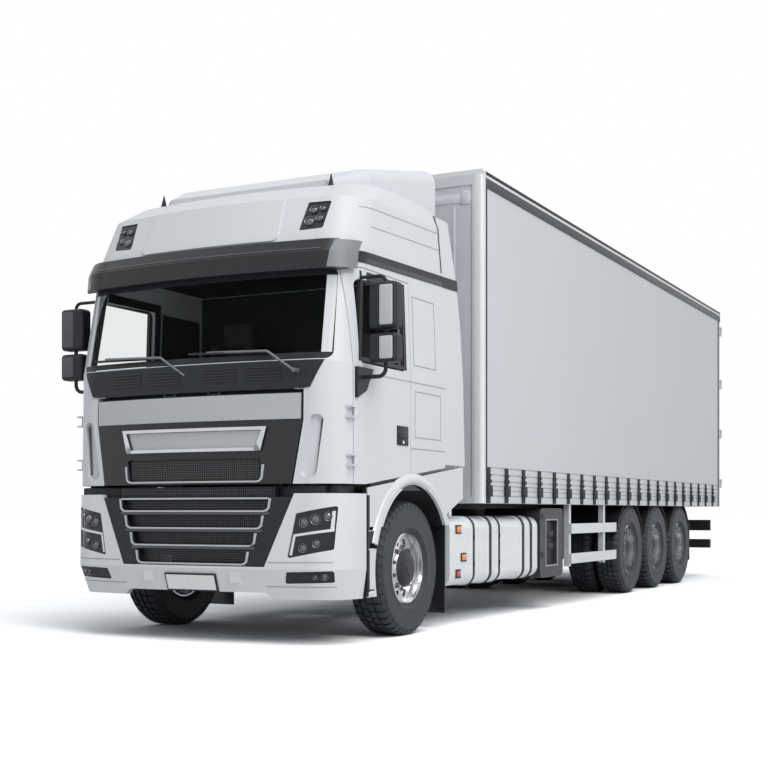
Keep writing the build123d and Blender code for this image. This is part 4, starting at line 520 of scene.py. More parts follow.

# Front bumper and fenders: mouldings in the cab's silver, wrapped round both corners, with the
# fenders' faces behind the arches near black and bright treads in the steps. Dark strips and a panel
# are painted shade in the step's recess and the gaps beside the bumper, rubber seals and splash
# panels close the gaps under the cab, and the number plate is blank.
silver_paint = finish(
    "silver_paint", (0.72, 0.74, 0.765), 0.30, metal=0.15, coat=0.25, mottle=0.015, scale=2.5, bump=0.0
)
gloss_black = finish(
    "gloss_black", (0.013, 0.015, 0.018), 0.2, coat=0.15, mottle=0.1, scale=8, bump=0.0, spec=0.35
)
satin_black = finish("satin_black", (0.018, 0.0205, 0.0245), 0.45, mottle=0.12, scale=14, bump=0.1, spec=0.3)


def recoloured_near_centre(made, limit, colour, middle=2.0, reach=9.0):
    """Turns a finish to another colour near the centre plane, at some heights."""
    tree = made.node_tree
    tint = next(node for node in tree.nodes if node.bl_idname == "ShaderNodeValToRGB")
    where = next(node for node in tree.nodes if node.bl_idname == "ShaderNodeTexCoord")
    split = tree.nodes.new("ShaderNodeSeparateXYZ")
    link(tree, where, "Object", split, 0)
    inside = tree.nodes.new("ShaderNodeMath")
    inside.operation = "MULTIPLY"
    for number, (axis, centre, width) in enumerate((("X", 0.0, limit), ("Z", middle, reach))):
        close = tree.nodes.new("ShaderNodeMath")
        close.operation = "COMPARE"
        close.inputs[1].default_value = centre
        close.inputs[2].default_value = width
        link(tree, split, axis, close, 0)
        link(tree, close, 0, inside, number)
    choice = tree.nodes.new("ShaderNodeMixRGB")
    choice.inputs["Color2"].default_value = (*colour, 1)
    link(tree, inside, 0, choice, "Fac")
    link(tree, tint, "Color", choice, "Color1")
    link(tree, choice, "Color", tree.nodes["Principled BSDF"], "Base Color")
    return made


dress(["front_bumper"], silver_paint)
fender_paint = finish("fender_paint", (0.69, 0.71, 0.735), 0.32, coat=0.2, mottle=0.015, scale=2.5, bump=0.0)
# Inside 1.236 m from the centre plane, on the faces behind the arches, the fenders turn near black.
dress(["front_fenders"], recoloured_near_centre(fender_paint, 1.236, (0.02, 0.021, 0.023)))
STEP_FRONT, STEP_REAR, STEP_IN, STEP_OUT = -5.492, -5.400, 1.150, 1.2475
bm = blocks(
    ((STEP_IN, STEP_FRONT, 0.693), (STEP_OUT, STEP_REAR, 0.705), 0.003),
    ((STEP_IN, STEP_FRONT, 0.828), (STEP_OUT, STEP_REAR, 0.840), 0.003),
    ((STEP_IN, STEP_FRONT, 0.346), (STEP_OUT, STEP_REAR, 0.388), 0.006),
)
piece(both_sides(bm), "step_treads", chrome, "chassis")
# The first three blocks are painted shade: a dark strip in the gap between bumper and fender, a dark panel
# over the step's recess and a dark line in the gap above the lowest tread. The rest are seals and splash
# panels under the cab.
bm = blocks(
    ((1.190, -5.503, 0.350), (1.2472, -5.468, 1.100), 0.004),
    ((1.200, -5.490, 0.744), (1.2478, -5.372, 0.836), 0.002, 1),
    ((1.200, -5.470, 0.390), (1.2474, -5.395, 0.402), 0.002, 1),
    ((0.690, -5.860, 1.050), (1.085, -5.800, 1.165), 0.006),
    ((1.000, -5.800, 1.050), (1.165, -5.560, 1.165), 0.006),
    ((1.096, -5.785, 1.055), (1.108, -5.200, 1.262), 0.004),
)
piece(both_sides(bm), "step_shade_and_bumper_seals", satin_black, "chassis")
FLARE = [(1.238, 0.752), (1.254, 0.742), (1.265, 0.716), (1.2665, 0.690), (1.258, 0.670), (1.240, 0.664)]
FLARE_START, FLARE_SWEEP = radians(197), radians(-130)
bm = bmesh.new()
ring = [bm.verts.new((x, r * cos(FLARE_START), -r * sin(FLARE_START))) for x, r in FLARE]
edges = [bm.edges.new(pair) for pair in zip(ring, ring[1:] + ring[:1])]
bmesh.ops.spin(bm, geom=ring + edges, cent=(0, 0, 0), axis=(1, 0, 0), angle=FLARE_SWEEP, steps=40)
bmesh.ops.holes_fill(bm, edges=bm.edges)
bmesh.ops.recalc_face_normals(bm, faces=bm.faces)
bmesh.ops.translate(bm, verts=bm.verts, vec=(0, FRONT_WHEEL[1], AXLE_Z))
piece(both_sides(bm), "arch_flares", silver_paint, "chassis", 60)
# Grey for pressed lines and creases, where it is painted shade along the folds of the panels, and for the
# curtains' hem seams.
crease_shade_and_seam_grey = finish("crease_shade_and_seam_grey", (0.34, 0.345, 0.35), 0.5, mottle=0.05, scale=20, bump=0.0)
FRONT = -6.0
CORNER = 0.300
BOW = 0.070
BUMPER_SKIN = [
    # height, setback of the front, half width
    (0.340, 0.075, 1.220), (0.560, 0.0, 1.250), (1.110, 0.012, 1.250),
]
CAB_SKIN = [
    (1.180, 0.020, 1.245), (2.060, 0.035, 1.245), (2.760, 0.165, 1.220), (2.950, 0.200, 1.212),
    (3.330, 0.380, 1.180), (3.470, 0.620, 1.125), (3.540, 0.980, 1.030),
]


def level(skin, z):
    """Setback and half width of a skin at a height."""
    rows = list(zip(skin, skin[1:]))
    for lower, upper in rows:
        if z <= upper[0] or (lower, upper) == rows[-1]:
            share = (z - lower[0]) / (upper[0] - lower[0])
            return lower[1] + share * (upper[1] - lower[1]), lower[2] + share * (upper[2] - lower[2])


def skin_y(skin, x, z):
    """Where the front of a skin lies at one place in front view."""
    setback, half = level(skin, z)
    corner_x = half - CORNER
    radius = (corner_x**2 + BOW**2) / (2 * BOW)
    if abs(x) <= corner_x:
        return FRONT + setback + radius - (radius**2 - x**2) ** 0.5
    reach = min(abs(x) - corner_x, CORNER * 0.9999)
    return FRONT + setback + BOW + CORNER - (CORNER**2 - reach**2) ** 0.5


def skin_x(skin, y, z):
    """Half width of a skin at one station and height."""
    setback, half = level(skin, z)
    behind = y - (FRONT + setback + BOW)
    if behind >= CORNER:
        return half
    return half - CORNER + (CORNER**2 - (CORNER - max(behind, 0)) ** 2) ** 0.5


def gridded(points, spans, pitch):
    """A flat panel cut across into strips so that it can bend; spans are (axis, low, high)."""
    bm = bmesh.new()
    bm.faces.new([bm.verts.new(point) for point in points])
    for axis, low, high in spans:
        cuts = int((high - low) / pitch)
        for index in range(1, cuts + 1):
            spot = [0, 0, 0]
            normal = [0, 0, 0]
            spot[axis] = low + index * (high - low) / (cuts + 1)
            normal[axis] = 1
            bmesh.ops.bisect_plane(
                bm, geom=bm.verts[:] + bm.edges[:] + bm.faces[:], dist=1e-5, plane_co=spot, plane_no=normal
            )
    return bm


def thickened(bm, shift):
    """Closes a bent panel with a copy of itself moved by shift."""
    back = bmesh.ops.duplicate(bm, geom=bm.verts[:] + bm.edges[:] + bm.faces[:])["geom"]
    bmesh.ops.translate(bm, vec=shift, verts=[item for item in back if isinstance(item, bmesh.types.BMVert)])
    bmesh.ops.reverse_faces(bm, faces=[item for item in back if isinstance(item, bmesh.types.BMFace)])
    bmesh.ops.bridge_loops(bm, edges=[edge for edge in bm.edges if edge.is_boundary])
    bmesh.ops.recalc_face_normals(bm, faces=bm.faces)
    return bm


def skinned(skin, outline, out, thick, pitch=0.06):
    """A panel that lies on a skin: a front-view outline, its front face out by a distance."""
    xs, zs = zip(*outline)
    bm = gridded([(x, 0, z) for x, z in outline], ((0, min(xs), max(xs)), (2, min(zs), max(zs))), pitch)
    for vert in bm.verts:
        vert.co.y = skin_y(skin, vert.co.x, vert.co.z) - out
    return thickened(bm, (0, thick, 0))


def paired(skin, outline, out, thick, pitch):
    """A panel on the left half of a skin and its twin on the right, as one."""
    return joined([
        skinned(skin, [(side * x, z) for x, z in outline], out, thick, pitch) for side in SIDES
    ])


def mirrored(outline):
    """A front-view outline closed across the centre plane from its left half, top to bottom."""
    return outline + [(-x, z) for x, z in reversed(outline)]


# The bumper's creases are grey strips of painted shade.
CREASE_END = 1.150
creases = []
for x, z in ((0.670, 0.606), (0.640, 0.428)):
    outline = [(x, z), (CREASE_END, z + 0.004), (CREASE_END, z + 0.010), (x, z + 0.006)]
    creases.append(paired(BUMPER_SKIN, outline, 0.002, 0.004, 0.02))
piece(joined(creases), "bumper_creases", crease_shade_and_seam_grey, "chassis", 0)
plate_white = finish("plate_white", (0.86, 0.86, 0.85), 0.35, mottle=0.03, scale=30, bump=0.05)
bm = skinned(BUMPER_SKIN, mirrored([(0.216, 0.506), (0.216, 0.396)]), 0.017, 0.008)
piece(bm, "front_number_plate", plate_white, "chassis")
bm = skinned(BUMPER_SKIN, mirrored([(0.230, 0.518), (0.230, 0.384)]), 0.012, 0.016)
piece(bm, "number_plate_holder", satin_black, "chassis")

# Lower grille: a black moulded frame whose slats carry bright lips with turned-up ends, and a fine
# woven mesh stretched behind the openings.
dress(["lower_grille"], satin_black)
GRILLE_LOW, GRILLE_HIGH, GRILLE_ROWS = 0.575, 1.085, 4
GRILLE_HALF = 0.472
ROW = (GRILLE_HIGH - GRILLE_LOW) / GRILLE_ROWS
LIP_HEIGHT, LIP_DEPTH, LIP_PITCH = 0.012, 0.012, 0.09
WIRE = 0.0022
MESH_STRIPS = 12


def opening(row):
    """Lower and upper edge and lower half width of one grille opening, which widens upwards."""
    low = GRILLE_LOW + row * ROW + (0.032 if row else 0.0233)
    half = GRILLE_HALF + (low - GRILLE_LOW) / 0.535 * 0.240
    return low, GRILLE_LOW + (row + 1) * ROW, half


def lip(skin, half, z, out, rise=0.100):
    """A bright lip along a slat, turned up at both ends."""
    top = z + LIP_HEIGHT
    parts = [skinned(skin, mirrored([(half, top), (half, z)]), out, LIP_DEPTH, LIP_PITCH)]
    if rise:
        end = z + rise
        outer = [(half, z), (half + 0.028, z + 0.006), (half + 0.048, z + 0.024), (half + 0.062, end)]
        inner = [(half, top), (half + 0.020, top + 0.006), (half + 0.034, z + 0.034), (half + 0.042, end)]
        for (a, b), (c, d) in zip(zip(outer, outer[1:]), zip(inner, inner[1:])):
            parts.append(paired(skin, (a, b, d, c), out, LIP_DEPTH, LIP_PITCH))
    return joined(parts)


def woven(skin, half, low, high, out, pitch=0.016):
    """A mesh of thin bars behind an opening."""
    bm = bmesh.new()
    count = int(2 * half / pitch)
    for index in range(count + 1):
        x = -half + index * 2 * half / count
        y = skin_y(skin, x, (low + high) / 2) - out
        block(bm, (x - WIRE, y - 0.003, low), (x + WIRE, y, high))
    rows = int((high - low) / pitch)
    width = 2 * half / MESH_STRIPS
    for index in range(1, rows):
        z = low + index * (high - low) / rows
        for strip in range(MESH_STRIPS):
            x0 = -half + strip * width
            x1 = x0 + width
            y = min(skin_y(skin, x0, z), skin_y(skin, x1, z)) - out
            block(bm, (x0, y - 0.004, z - WIRE), (x1, y - 0.001, z + WIRE))
    return bm


lips = []
slats = []
meshes = []
for row in range(GRILLE_ROWS):
    low, high, half = opening(row)
    lips.append(lip(BUMPER_SKIN, half - 0.03, low - 0.014, -0.002))
    slat = mirrored([(half + 0.02, low - 0.014), (half + 0.01, low - 0.034)])
    slats.append(skinned(BUMPER_SKIN, slat, -0.006, 0.008, LIP_PITCH))
    meshes.append(woven(BUMPER_SKIN, half, low, high, -0.074))
lips.append(lip(BUMPER_SKIN, half + 0.01, GRILLE_HIGH - 0.016, -0.002, 0.0))
meshes.append(woven(BUMPER_SKIN, half + 0.015, 1.094, 1.157, -0.042))
lip_alloy = finish("lip_alloy", (0.50, 0.51, 0.53), 0.30, metal=0.6, mottle=0.04, scale=10, bump=0.0)
# This grey also paints the shade in the corner scoops and on the right mirror cover, and the highlight line
# across the visor.
slat_grey_and_painted_light = finish("slat_grey_and_painted_light", (0.075, 0.078, 0.085), 0.4, mottle=0.06, scale=10, bump=0.0)
piece(joined(lips), "grille_lips", lip_alloy, "chassis")
piece(joined(slats), "grille_slats", slat_grey_and_painted_light, "chassis")
mesh_wire = finish("mesh_wire", (0.085, 0.087, 0.092), 0.4, metal=0.5, mottle=0.1, scale=30, bump=0.0)
piece(joined(meshes), "grille_mesh", mesh_wire, "chassis", 0)

# Headlamps and fog lamps: black moulded housings behind the bumper's skin, with round projector
# lenses in steel rings and a clear light guide bent between and beside them.
dress(["front_lamps", "roof_lamps"], gloss_black)
lens_glass = finish(
    "lens_glass", (0.13, 0.14, 0.15), 0.08, metal=0.5, coat=0.6, mottle=0.15, scale=30, bump=0.0
)


def facing(skin, x, z):
    """The way a skin faces at one place."""
    step = 0.004
    dx = (skin_y(skin, x + step, z) - skin_y(skin, x - step, z)) / (2 * step)
    dz = (skin_y(skin, x, z + step) - skin_y(skin, x, z - step)) / (2 * step)
    return Vector((dx, -1, dz)).normalized()


def handed(side, *parts):
    """Mirrors bmeshes made for the left side, where the side is the right one."""
    if side < 0:
        for part in parts:
            bmesh.ops.scale(part, vec=(-1, 1, 1), verts=part.verts)
            bmesh.ops.reverse_faces(part, faces=part.faces)


def round_lamps(skin, spots, sunk):
    """Rings and domed lenses on both lamp housings, from rows of x, z and radius."""
    rings, domes = [], []
    for side in SIDES:
        for x, z, r in spots:
            out = facing(skin, x, z)
            spot = Vector((x, skin_y(skin, x, z), z)) - out * sunk
            turn = Matrix.Translation(spot) @ out.to_track_quat("X", "Z").to_matrix().to_4x4()
            ring = spun([(0, r * 0.80), (0.008, r * 0.84), (0.010, r * 0.94), (0.004, r), (-0.006, r)], 36)
            dome = spun([(-0.004, r * 0.80), (0.004, r * 0.66), (0.009, r * 0.36), (0.010, 0.0008)], 32)
            for part in (ring, dome):
                bmesh.ops.transform(part, matrix=turn, verts=part.verts)
            handed(side, ring, dome)
            rings.append(ring)
            domes.append(dome)
    return joined(rings), joined(domes)


LAMP_SINK = 0.010
rings, domes = round_lamps(BUMPER_SKIN, (
    (0.948, 0.900, 0.040), (1.037, 0.922, 0.042), (1.118, 0.945, 0.034), (0.942, 0.715, 0.036),
    (1.045, 0.748, 0.032), (1.095, 0.509, 0.028), (1.030, 0.506, 0.022),
), LAMP_SINK)
guides = []
for side in SIDES:
    for outline in (
        [(0.838, 0.664), (0.856, 0.662), (0.882, 0.800), (0.868, 0.812)],
        [(0.868, 0.796), (1.152, 0.836), (1.154, 0.856), (0.870, 0.814)],
        [(1.132, 0.850), (1.152, 0.852), (1.158, 0.984), (1.142, 0.980)],
    ):
        guide = skinned(BUMPER_SKIN, outline, -0.004, 0.01, 0.03)
        handed(side, guide)
        guides.append(guide)
piece(rings, "lamp_rings", nut_steel, "chassis")
piece(domes, "lamp_lenses", lens_glass, "chassis")
piece(joined(guides), "light_guides", clear_lens, "chassis")

# Front flap: a black panel on two hinges under the scuttle. A silver band crosses its top, then a
# bright dished tray with nothing on it, then the first grille row with its lip.
dress(["front_flap"], gloss_black)
bm = skinned(CAB_SKIN, mirrored([(0.918, 1.834), (0.916, 1.648)]), 0.010, 0.012)
band_silver = finish(
    "band_silver", (0.46, 0.48, 0.50), 0.32, metal=0.25, coat=0.2, mottle=0.02, scale=2.5, bump=0.0,
    stretch=(0.3, 1, 1),
)
piece(bm, "flap_band", band_silver, "front_flap")
tray_alloy = finish(
    "tray_alloy", (0.47, 0.49, 0.51), 0.30, metal=0.3, mottle=0.04, scale=5, bump=0.02, stretch=(0.1, 1, 1)
)
tray = [
    skinned(CAB_SKIN, outline, 0.019, 0.008) for outline in (
        mirrored([(0.653, 1.598), (0.612, 1.574)]),
        mirrored([(0.562, 1.446), (0.606, 1.422)]),
        [(0.612, 1.574), (0.653, 1.598), (0.606, 1.422), (0.562, 1.446)],
        [(-0.612, 1.574), (-0.562, 1.446), (-0.606, 1.422), (-0.653, 1.598)],
    )
]
plate = skinned(CAB_SKIN, mirrored([(0.606, 1.572), (0.558, 1.447)]), -0.001, 0.006)
piece(joined(tray), "flap_tray_rim", rim_dull, "front_flap")
piece(plate, "flap_tray", tray_alloy, "front_flap")
piece(lip(CAB_SKIN, 0.57, 1.192, 0.006, 0.130), "flap_lip", lip_alloy, "front_flap")
piece(woven(CAB_SKIN, 0.575, 1.212, 1.363, -0.021), "flap_mesh", mesh_wire, "front_flap", 0)

# Cab shell: pressed steel panels in silver white lacquer. A black moulded scuttle panel with louvres
# closes the gap between the flap and the screen.
cab_white = finish("cab_white", (0.70, 0.72, 0.745), 0.36, mottle=0.012, scale=2.0, bump=0.0, spec=0.3)
front_white_gap_shade = finish("front_white_gap_shade", (0.70, 0.72, 0.745), 0.36, mottle=0.012, scale=2.0, bump=0.0, spec=0.3)
# Behind the flap and the scuttle the front panel turns near black: painted shade in the gaps round the flap
# and behind its grille.
dress(["cab_front"], recoloured_near_centre(front_white_gap_shade, 0.858, (0.02, 0.021, 0.023), 1.62, 0.44))
dress(["cab_sides", "cab_rear_wall", "cab_roof", "roof_deflector", "side_deflectors"], cab_white)
dress(["cab_floor"], chassis_paint)
bm = skinned(CAB_SKIN, mirrored([(1.085, 2.072), (0.985, 1.875), (0.930, 1.868)]), 0.008, 0.012)
piece(bm, "scuttle_panel", satin_black, "cab")


def rect(low, high, bottom, top):
    """A rectangle's corners, as an outline in front or side view."""
    return [(low, bottom), (high, bottom), (high, top), (low, top)]


SLIT_ROWS, SLIT_PITCH, SLIT_HALF, SLIT_HEIGHT = 5, 0.022, 0.145, 0.009
slits = []
for x in (-0.62, -0.25, 0.25, 0.62):
    for row in range(SLIT_ROWS):
        z = 1.935 + row * SLIT_PITCH
        outline = rect(x - SLIT_HALF, x + SLIT_HALF, z, z + SLIT_HEIGHT)
        slits.append(skinned(CAB_SKIN, outline, 0.015, 0.010, 0.15))
piece(joined(slits), "scuttle_louvres", gloss_black, "cab", 0)
# In each corner scoop a dark grey strip lies along the outer wall: painted shade inside the scoop.
scoop_shade_outline = [(1.022, 1.270), (1.034, 1.262), (1.074, 1.640), (1.056, 1.650)]
piece(paired(CAB_SKIN, scoop_shade_outline, -0.030, 0.004, 0.03), "scoop_shade_strips", slat_grey_and_painted_light, "cab")

# Windscreen: one bent laminated pane with a light grey tint, bonded in with a black printed border.
# Two long wipers lie along its lower edge with rubber blades under their arms, and a silver white
# cover hides each end of the pane at its pillar.


def glazing(name, tint, clear):
    """Thin tinted glass that lets most rays straight through and reflects at a slant."""
    made = bpy.data.materials.new(name)
    made.use_nodes = True
    tree = made.node_tree
    shader = tree.nodes["Principled BSDF"]
    shader.inputs["Roughness"].default_value = 0.03
    shader.inputs["Specular IOR Level"].default_value = 0.2
    where = tree.nodes.new("ShaderNodeTexCoord")
    haze = tree.nodes.new("ShaderNodeTexNoise")
    haze.inputs["Scale"].default_value = 1.6
    link(tree, where, "Object", haze, "Vector")
    shades = tree.nodes.new("ShaderNodeValToRGB")
    shades.color_ramp.elements[0].color = (*[c * 0.85 for c in tint], 1)
    shades.color_ramp.elements[1].color = (*tint, 1)
    link(tree, haze, "Fac", shades, "Fac")
    link(tree, shades, "Color", shader, "Base Color")
    pass_through = tree.nodes.new("ShaderNodeBsdfTransparent")
    pass_through.inputs["Color"].default_value = (*clear, 1)
    both = tree.nodes.new("ShaderNodeMixShader")
    both.inputs["Fac"].default_value = 0.035
    link(tree, pass_through, 0, both, 1)
    link(tree, shader, 0, both, 2)
    link(tree, both, 0, tree.nodes["Material Output"], "Surface")
    return made


screen_glass = glazing("screen_glass", (0.03, 0.034, 0.038), (0.985, 0.99, 0.99))
dress(["windscreen"], screen_glass)
# The arms' mid grey is painted highlight, standing in for the glints along them.
wiper_highlight_grey = finish("wiper_highlight_grey", (0.20, 0.205, 0.215), 0.35, metal=0.4, mottle=0.06, scale=30, bump=0.0)
dress(["wipers"], wiper_highlight_grey)
borders = [
    [(1.120, 2.086), (1.120, 2.128), (-1.120, 2.128), (-1.120, 2.086)],
    [(1.108, 2.700), (1.106, 2.744), (-1.106, 2.744), (-1.108, 2.700)],
]
edging = [skinned(CAB_SKIN, outline, -0.0095, 0.0018) for outline in borders]
piece(joined(edging), "screen_border", satin_black, "cab")
cover = [(1.052, 2.128), (1.120, 2.128), (1.108, 2.700), (1.040, 2.700)]
piece(paired(CAB_SKIN, cover, -0.0095, 0.0018, 0.03), "pillar_covers", cab_white, "cab", 60)
blades = []
for x in (-0.620, 0.330):
    outline = [(x - 0.36, 2.148), (x + 0.33, 2.130), (x + 0.33, 2.145), (x - 0.36, 2.163)]
    blades.append(skinned(CAB_SKIN, outline, 0.020, 0.028, 0.08))
piece(joined(blades), "wiper_blades", satin_black, "cab")

# Sun visor and roof: a smoked wrap-round visor above the screen with pale end caps, two square lamps
# let into the roof's front corners, and two small black aerial fins behind them.
visor_smoke = finish(
    "visor_smoke", (0.014, 0.0155, 0.018), 0.32, coat=0.05, mottle=0.08, scale=4, bump=0.0, spec=0.33
)
dress(["sun_visor"], visor_smoke)
VISOR_SKIN = [(2.735, 0.085, 1.247), (2.865, 0.100, 1.247), (2.965, 0.165, 1.247)]
cap = [(1.075, 2.745), (1.232, 2.745), (1.232, 2.958), (1.100, 2.958)]
visor_cap = finish("visor_cap", (0.23, 0.24, 0.255), 0.4, mottle=0.03, scale=6, bump=0.0, spec=0.35)
piece(paired(VISOR_SKIN, cap, 0.003, 0.006, 0.02), "visor_end_caps", visor_cap, "cab", 60)
# A lighter grey line across the visor's middle: painted highlight along it.
line = skinned(VISOR_SKIN, mirrored([(1.02, 2.893), (1.02, 2.884)]), 0.003, 0.006)
piece(line, "visor_highlight_line", slat_grey_and_painted_light, "cab", 0)
rings, domes = round_lamps(CAB_SKIN, (
    (0.840, 3.130, 0.042), (0.915, 3.150, 0.034), (0.850, 3.222, 0.034), (0.922, 3.228, 0.026),
), LAMP_SINK - 0.004)
piece(rings, "roof_lamp_rings", nut_steel, "cab")
piece(domes, "roof_lamp_lenses", lens_glass, "cab")
bm = bmesh.new()
for x in (-0.79, 0.79):
    place = Matrix.Translation((x, -5.240, 3.530)) @ Matrix.Diagonal((0.35, 1.0, 1.0, 1))
    bmesh.ops.create_cone(
        bm, cap_ends=True, segments=20, radius1=0.040, radius2=0.006, depth=0.100, matrix=place
    )
piece(bm, "aerial_fins", satin_black, "cab")

# Cab sides: a dark styling stripe runs back from the visor over the door to the end of the fairing.
# Thin pressed lines mark the blind window, the locker, the waist behind the door and the roof's side,
# drawn as grey strips of painted shade.


def sided(skin, outline, out, thick, pitch=0.12):
    """A panel on the left side of a skin, from a side-view outline."""
    ys, zs = zip(*outline)
    bm = gridded([(0, y, z) for y, z in outline], ((1, min(ys), max(ys)), (2, min(zs), max(zs))), pitch)
    for vert in bm.verts:
        vert.co.x = skin_x(skin, vert.co.y, vert.co.z) + out
    return thickened(bm, (-thick, 0, 0))


def pressed_frame(low_y, high_y, low_z, high_z, width):
    """Four pressed lines that outline a rectangle on the side of the cab."""
    return joined([
        sided(CAB_SKIN, outline, LINE_OUT, LINE_THICK) for outline in (
            rect(low_y, high_y, low_z, low_z + width),
            rect(low_y, high_y, high_z - width, high_z),
            rect(low_y, low_y + width, low_z + width, high_z - width),
            rect(high_y - width, high_y, low_z + width, high_z - width),
        )
    ])


LINE_OUT, LINE_THICK, LINE_HEIGHT = 0.0016, 0.004, 0.006
SIDE_FRONT, SIDE_REAR = -4.765, -4.125
stripe = [(-5.700, 2.806), (-4.122, 2.846), (-4.122, 2.934), (-5.700, 2.892)]
bm = sided(CAB_SKIN, stripe, 0.005, 0.010, 0.025)
piece(both_sides(bm), "side_stripe", satin_black, "cab")
inlay = [(-5.698, 2.810), (-4.122, 2.850), (-4.122, 2.882), (-5.698, 2.842)]
bm = joined([
    sided(CAB_SKIN, inlay, 0.0065, 0.006, 0.025),
    sided(CAB_SKIN, rect(-4.135, -4.122, 2.960, 3.440), 0.005, 0.008, 0.04),
])
piece(both_sides(bm), "stripe_inlay", gloss_black, "cab")
FAIRING_SKIN = [(1.365, 0.0, 1.240), (2.100, 0.0, 1.240), (2.950, 0.0, 1.205), (3.430, 0.0, 1.160)]
bm = sided(FAIRING_SKIN, [(-4.118, 2.846), (-3.795, 2.854), (-3.803, 2.945), (-4.118, 2.934)], 0.006, 0.010)
piece(both_sides(bm), "fairing_stripe", satin_black, "cab")
lines = [
    pressed_frame(-4.715, -4.300, 2.130, 2.680, 0.008),
    pressed_frame(-4.700, -4.210, 1.560, 1.930, 0.007),
    sided(CAB_SKIN, rect(SIDE_FRONT, SIDE_REAR, 1.993, 2.000), LINE_OUT, LINE_THICK),
    sided(CAB_SKIN, rect(SIDE_FRONT, SIDE_REAR, 1.470, 1.477), LINE_OUT, LINE_THICK),
]
for front, low, high in ((-5.450, 3.245, 3.285), (-5.360, 3.105, 3.145)):
    crease = [(front, low), (-4.140, high), (-4.140, high + LINE_HEIGHT), (front, low + LINE_HEIGHT)]
    lines.append(sided(CAB_SKIN, crease, LINE_OUT, LINE_THICK, 0.02))
bm = joined(lines)
piece(both_sides(bm), "side_panel_lines", crease_shade_and_seam_grey, "cab")

# Cab interior: moulded trim behind the seats and under the roof, dark grey taken down to near black
# as painted shade inside the closed cab, and a dashboard in the same dark plastic with the steering
# column and wheel.
# Near black: the trim's dark grey together with the shade inside the cab.
dark_trim_and_cab_shade = finish("dark_trim_and_cab_shade", (0.018, 0.019, 0.020), 0.6, mottle=0.10, scale=8, bump=0.15, spec=0.3)
dash_plastic = finish("dash_plastic", (0.016, 0.017, 0.018), 0.55, mottle=0.10, scale=10, bump=0.15, spec=0.3)
dress(["dashboard"], dash_plastic)
LINING_REAR = -4.205
bm = blocks(
    ((-1.140, LINING_REAR, 1.420), (1.140, -4.182, 2.900), 0.006),
    ((-1.120, -5.480, 2.905), (1.120, LINING_REAR, 2.930), 0.006),
    ((-1.1805, -4.760, 1.420), (-1.1625, LINING_REAR, 2.760), 0.004),
    ((1.1625, -4.760, 1.420), (1.1805, LINING_REAR, 2.760), 0.004),
)
piece(bm, "cab_lining", dark_trim_and_cab_shade, "cab")
pillar = [(1.030, 2.040), (1.130, 2.040), (1.105, 2.760), (1.000, 2.760)]
piece(paired(CAB_SKIN, pillar, -0.064, 0.003, 0.05), "pillar_trim", dark_trim_and_cab_shade, "cab")
bm = blocks(
    ((-0.30, -5.405, 1.83), (0.30, -5.290, 1.96), 0.012),
    ((-1.02, -5.40, 1.85), (-0.72, -5.300, 1.95), 0.012),
    ((0.36, -5.46, 1.99), (0.76, -5.32, 2.045), 0.012),
)
piece(bm, "dash_panels", gloss_black, "cab")

# Seats: two foam seats in woven grey cloth on plain pedestals, each with cushion, backrest and a
# separate headrest. The bolsters stand out at the sides.
seat_cloth = finish("seat_cloth", (0.040, 0.042, 0.046), 0.85, mottle=0.16, scale=22, bump=0.5)
DRIVER_X = 0.560
SEAT_Y = -5.050


def cushion_on(bm, low, high, lean, pivot):
    """A soft block between two corners, leaning back in degrees about a line across it."""
    block(bm, low, high, CUSHION_ROUND, 3)
    fresh = [vert for vert in bm.verts if not vert.tag]
    tilt = Matrix.Rotation(radians(-lean), 4, "X")
    turn = Matrix.Translation(pivot) @ tilt @ Matrix.Translation(-Vector(pivot))
    bmesh.ops.transform(bm, matrix=turn, verts=fresh)
    for vert in bm.verts:
        vert.tag = True


CUSHION_ROUND = 0.035
for side in SIDES:
    x = side * DRIVER_X
    bm = bmesh.new()
    for offset, half, rise in ((0, 0.165, 0.0), (-0.205, 0.050, 0.018), (0.205, 0.050, 0.018)):
        left, right = x + offset - half, x + offset + half
        low, high = (left, SEAT_Y + 0.005, 1.700), (right, SEAT_Y + 0.47, 1.790 + rise)
        cushion_on(bm, low, high, -2, (0, SEAT_Y + 0.4, 1.75))
        low, high = (left, SEAT_Y + 0.425 - rise, 1.745), (right, SEAT_Y + 0.525, 2.420)
        cushion_on(bm, low, high, 10, (0, SEAT_Y + 0.47, 1.745))
    low, high = (x - 0.140, SEAT_Y + 0.535, 2.405), (x + 0.140, SEAT_Y + 0.640, 2.615)
    cushion_on(bm, low, high, 4, (0, SEAT_Y + 0.59, 2.42))
    pad = piece(bm, f"seat_pads_{HAND[side]}", seat_cloth, "cab", 40)
    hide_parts("seats")
    bm = blocks(
        ((x - 0.170, SEAT_Y + 0.060, 1.400), (x + 0.170, SEAT_Y + 0.420, 1.705), 0.012),
        ((x - 0.215, SEAT_Y + 0.030, 1.668), (x + 0.215, SEAT_Y + 0.450, 1.704), 0.010),
    )
    for stem in (x - 0.07, x + 0.07):
        bar(bm, (stem, SEAT_Y + 0.578, 2.36), (stem, SEAT_Y + 0.590, 2.46), 0.008, 12)
    base = piece(bm, f"seat_base_{HAND[side]}", dark_trim_and_cab_shade, "cab")
    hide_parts("seats")

